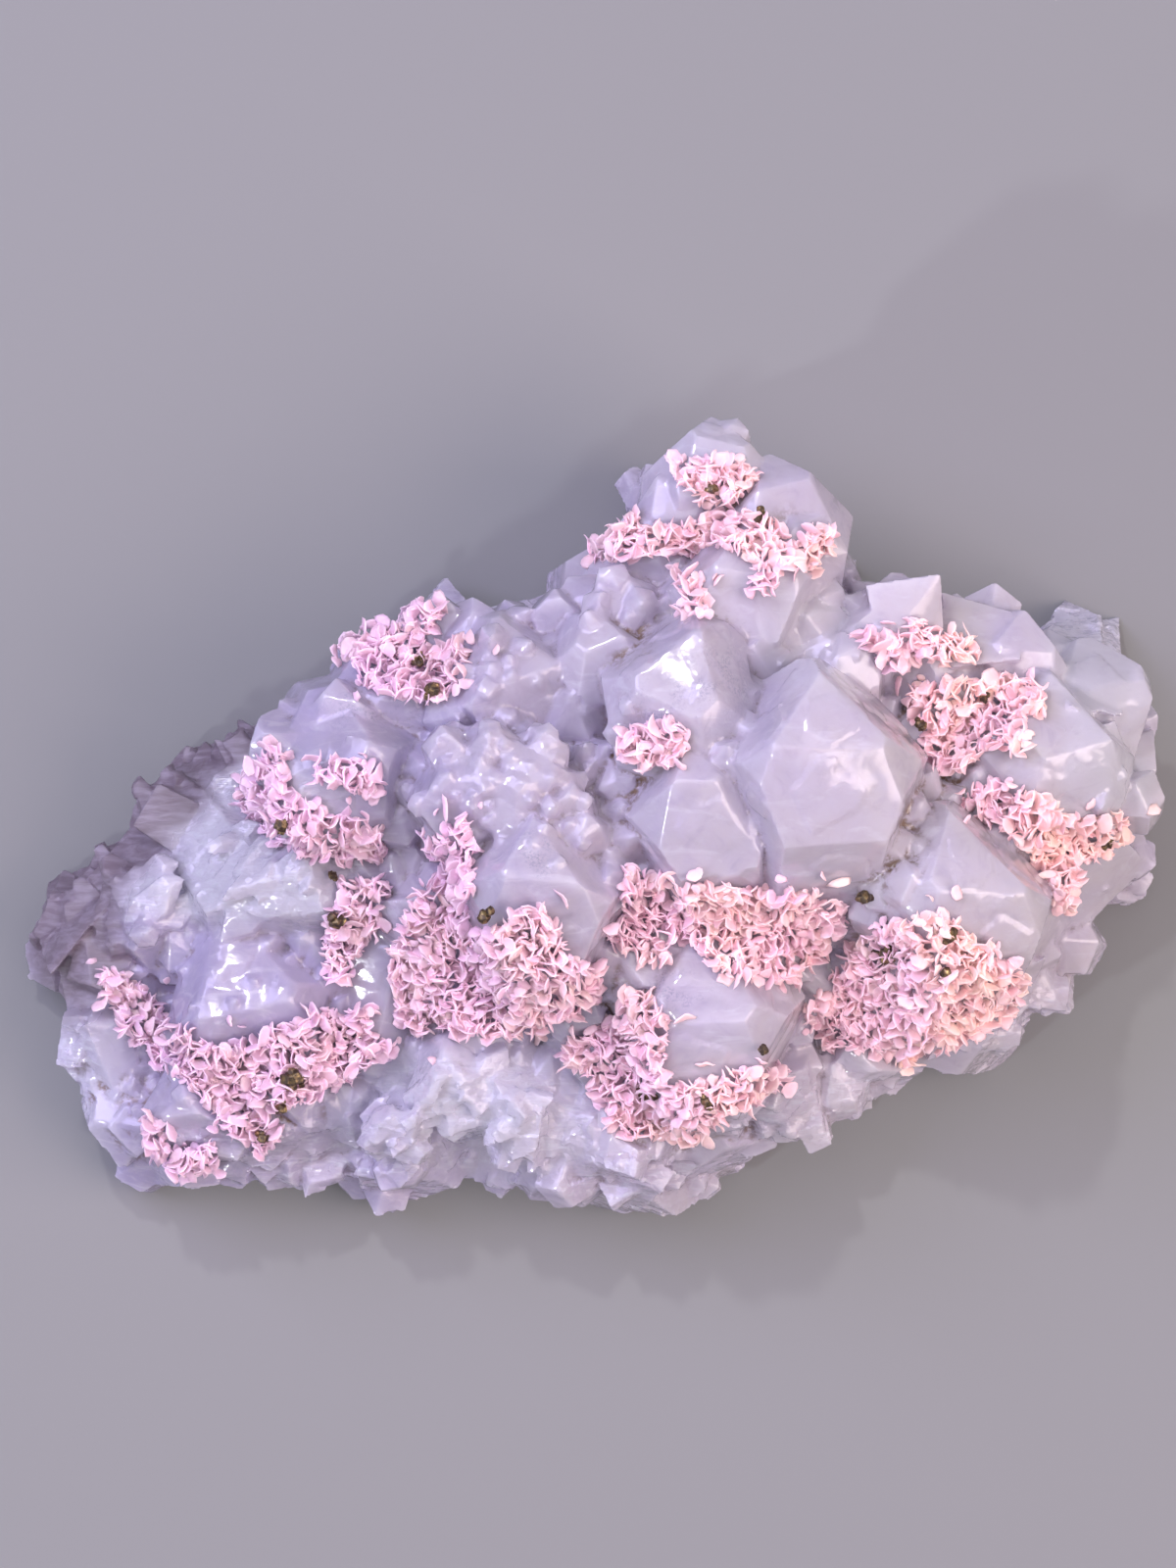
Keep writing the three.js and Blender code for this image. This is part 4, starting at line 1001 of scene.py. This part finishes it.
clumps = stone.noise(1.6, 2.0)

# %% Colour from the stone out: clouds and painted west-to-east light, veils and wisps, then speckles, a painted ridge highlight, painted hollow shade, dirt, and painted shade at the west end
cloudy = clouds.ramp(0.35, 0.65)
# painted light: the west end is painted cooler and darker and the east end paler, as the light falls on the
# piece
shaded_west_colour = stone.mix(cloudy, rgb(0.55, 0.497, 0.715), rgb(0.605, 0.547, 0.69))
lit_east_colour = stone.mix(cloudy, rgb(0.70, 0.645, 0.765), rgb(0.765, 0.71, 0.755))
colour = stone.mix(stone.eastward(-22, 24), shaded_west_colour, lit_east_colour)
colour = stone.mix(pale_mark * 0.5, colour, rgb(0.80, 0.80, 0.93))
colour = stone.mix(veils.ramp(0.5, 0.72) * 0.4, colour, rgb(0.74, 0.71, 0.84))
colour = stone.mix(veils.ramp(0.47, 0.3) * 0.25, colour, rgb(0.44, 0.40, 0.56))
colour = stone.mix(wisps.ramp(0.56, 0.72) * 0.5, colour, rgb(0.86, 0.83, 0.95))
colour = stone.mix(broken_mark * streaks.ramp(0.52, 0.68) * 0.6, colour, rgb(0.86, 0.88, 1.0))
speckles = speckled_mark * dots.ramp(0.46, 0.6) * clumps.ramp(0.45, 0.6)
colour = stone.mix(speckles * 0.55, colour, rgb(0.33, 0.32, 0.44))
# painted highlight: the ridges are painted paler
colour = stone.mix(hollow_mark.ramp(0.38, 0.1) * 0.35, colour, rgb(0.90, 0.87, 0.97))
# painted shade: the hollows are painted darker; the brown specks in them are dirt
hollow_shade_and_dirt = hollow_mark.ramp(0.6, 0.92) * (1 - clear_mark)
colour = stone.mix(hollow_shade_and_dirt * 0.5, colour, rgb(0.36, 0.29, 0.33))
colour = stone.mix(hollow_shade_and_dirt * specks.ramp(0.55, 0.68) * 0.5, colour, rgb(0.20, 0.13, 0.09))
stains = stain_mark * hollow_mark.ramp(0.5, 0.8) * specks.ramp(0.4, 0.55)
colour = stone.mix(stains * 0.85, colour, rgb(0.24, 0.15, 0.08))
# painted shade: low places at the west end are painted dark and streaked, and are made rougher
painted_shade_colour = stone.mix(streaks.ramp(0.42, 0.66) * 0.7, rgb(0.19, 0.14, 0.17), rgb(0.40, 0.34, 0.42))
colour = stone.mix(painted_shade_mark * 0.88, colour, painted_shade_colour)

# %% The feel of its faces: fine growth relief, and small flakes that lean all ways where it is broken
FLAKE_MM = 0.4

growth = stone.noise(0.5, 3.0, 0.6, 0.4)
flakes = stone.node("ShaderNodeTexVoronoi", {"feature": "F1"},
                    {"Vector": stone.place, "Scale": 1 / (FLAKE_MM * MM)}, out="Color")
lean = stone.node("ShaderNodeVectorMath", {"operation": "SUBTRACT"}, {0: flakes, 1: (0.5, 0.5, 0.5)})
lean = stone.node("ShaderNodeVectorMath", {"operation": "SCALE"}, {
    0: lean, "Scale": broken_mark * (1 - painted_shade_mark) * 0.3 + 0.01})
faces = stone.node("ShaderNodeNewGeometry", out="Normal")
tilted = stone.node("ShaderNodeVectorMath", {"operation": "ADD"}, {0: faces, 1: lean})
tilted = stone.node("ShaderNodeVectorMath", {"operation": "NORMALIZE"}, {0: tilted})
normal = stone.bump(growth, 0.025, 0.4, tilted)
normal = stone.bump(streaks * broken_mark, 0.15, 0.7, normal)

# %% Milk and glass mixed by the clear mark
QUARTZ_IOR = 1.544

milk = stone.node("ShaderNodeBsdfPrincipled", {"subsurface_method": "BURLEY"}, {
    "Base Color": colour, "Roughness": (stone.noise(1.6, 2.0) * 0.2 + painted_shade_mark * 0.4 + 0.03).clipped(),
    "Normal": normal, "IOR": QUARTZ_IOR, "Subsurface Weight": 0.75, "Subsurface Radius": (1.0, 0.9, 1.0),
    "Subsurface Scale": 1.2 * MM, "Transmission Weight": 0.45})
glass = stone.node("ShaderNodeBsdfPrincipled", {"subsurface_method": "BURLEY"}, {
    "Base Color": stone.mix((1 - painted_shade_mark) * 0.4, colour, rgb(0.93, 0.94, 1.0)),
    "Roughness": (stone.noise(0.9, 2.0) * 0.12 + painted_shade_mark * 0.4 + 0.01).clipped(),
    "Normal": normal, "IOR": QUARTZ_IOR, "Subsurface Weight": 0.5, "Subsurface Radius": (1.0, 0.95, 1.0),
    "Subsurface Scale": 1.6 * MM, "Transmission Weight": 0.5})
stone.finish_with(stone.node("ShaderNodeMixShader", {}, {0: clear_mark * 0.8, 1: milk, 2: glass}), quartz)

# %% [markdown]
# ## Rhodochrosite
# The blades are a pale pink, with painted light making them cooler and darker in the west and peachier in
# the east. Their thin rims are painted paler, a painted glow of light passing through them, while the stone
# between them stays deeper. One flat pink would look like plastic, so each blade carries its own tone and
# no two neighbours match, and a fine grain breaks up the sheen.

# %% Pale pink blades
RHODOCHROSITE_IOR = 1.6

pink = Finish("pink_rhodochrosite")
rim_mark, tone_mark = pink.mark("rim"), pink.mark("tone")
drift = pink.noise(7, 2.0)
# painted light: the west blades are painted cooler and darker and the east ones paler and peachier, as the
# light falls
shaded_west_tint = pink.mix(tone_mark, rgb(0.59, 0.39, 0.54), rgb(0.67, 0.47, 0.52))
lit_east_tint = pink.mix(tone_mark, rgb(0.87, 0.54, 0.55), rgb(0.89, 0.66, 0.57))
tint = pink.mix(pink.eastward(-25, 30), shaded_west_tint, lit_east_tint)
tint = pink.mix(drift.ramp(0.4, 0.62) * 0.5, tint, rgb(0.75, 0.50, 0.68))
# painted glow: the rims are painted paler, as if lit through
tint = pink.mix(rim_mark ** 5 * 0.35, tint, rgb(0.86, 0.76, 0.80))
tint = pink.mix(pink.noise(0.25, 2.0).ramp(0.55, 0.75) * 0.25, tint, rgb(0.85, 0.74, 0.77))
grain = pink.bump(pink.noise(0.16, 2.0), 0.02, 0.5)
petal = pink.node("ShaderNodeBsdfPrincipled", {"subsurface_method": "BURLEY"}, {
    "Base Color": tint, "Roughness": pink.noise(0.5, 1.0) * 0.2 + 0.34, "Normal": grain,
    "IOR": RHODOCHROSITE_IOR, "Subsurface Weight": 0.75, "Subsurface Radius": (1.0, 0.9, 0.9),
    "Subsurface Scale": 0.65 * MM})
pink.finish_with(petal, *blade_pieces)

# %% [markdown]
# ## Pyrite
# Pyrite is a metal to light: pale brass where it is clean and nearly black where it is tarnished. Most
# grains here are dull and dark with a few bright faces. One even brown would hide the faces, so noise
# says where the tarnish lies.

# %% Tarnished brass grains
brass = Finish("brassy_pyrite")
tarnish = brass.noise(0.5, 3.0, 0.6).ramp(0.32, 0.54)
metal_colour = brass.mix(tarnish, rgb(0.36, 0.27, 0.13), rgb(0.07, 0.05, 0.035))
grain_shader = brass.node("ShaderNodeBsdfPrincipled", {}, {
    "Base Color": metal_colour, "Metallic": 1 - tarnish * 0.3, "Roughness": tarnish * 0.3 + 0.22,
    "Normal": brass.bump(brass.noise(0.12, 2.0), 0.015, 0.6)})
brass.finish_with(grain_shader, *grain_pieces)

# %% [markdown]
# ## Floor, light and camera
# The specimen lies on its sawn back on a plain pale floor, and the camera looks straight down on it. One
# sun would give hard black shadows, so the light comes from large soft panels that keep the milky stone
# low in contrast: a cool lavender one at the upper left, a warmer one at the right and a wide one above.
# Two tiny weak ones add a few sparks on the crystal faces.

# %% Floor
FLOOR_WIDTH = 12.0

bpy.ops.mesh.primitive_plane_add(size=FLOOR_WIDTH, location=(0, 0, 0))
floor = bpy.context.object
floor.name = "floor"
paper = Finish("pale_floor")
paper.finish_with(paper.node("ShaderNodeBsdfPrincipled", {}, {
    "Base Color": rgb(0.21, 0.215, 0.215), "Roughness": 0.75}), floor)

# %% Camera
EYE = Vector((-0.00006, 0.00307, 0.470))
SEEN_HALF_HEIGHT = 0.064
EYE_TO_LEVEL = 0.45
SENSOR = 36
camera_data = bpy.data.cameras.new("camera")
camera_data.sensor_width = SENSOR
camera_data.lens = SENSOR / 2 * EYE_TO_LEVEL / SEEN_HALF_HEIGHT
camera_data.clip_start = 0.01
camera = put_in_scene("camera", camera_data)
camera.location = EYE
bpy.context.scene.camera = camera

# %% Lights
MIDDLE = Vector((0, 0, 0.015))


def panel(name, place, size, power, tone):
    """A square soft light that looks at the middle of the specimen."""
    data = bpy.data.lights.new(name, "AREA")
    data.size, data.energy, data.color = size, power, tone
    made = put_in_scene(name, data)
    made.location = place
    made.rotation_euler = (MIDDLE - Vector(place)).to_track_quat("-Z", "Y").to_euler()


panel("cool_panel", (-0.42, 0.26, 0.50), 0.45, 4.1, (0.66, 0.61, 1.0))
panel("warm_panel", (0.45, -0.12, 0.45), 0.45, 3.6, (1.0, 0.81, 0.79))
panel("top_panel", (0.05, 0.1, 0.9), 0.8, 3.1, (0.98, 0.92, 1.0))
panel("spark", (-0.12, 0.32, 0.5), 0.025, 0.8, (1.0, 0.98, 1.0))
panel("low_spark", (-0.35, -0.25, 0.3), 0.025, 0.7, (0.92, 0.94, 1.0))
world = bpy.data.worlds.new("room")
world.use_nodes = True
background = world.node_tree.nodes["Background"].inputs
background["Color"].default_value = rgb(0.74, 0.71, 0.80)
background["Strength"].default_value = 0.33
bpy.context.scene.world = world
bpy.context.scene.view_settings.view_transform = "Standard"
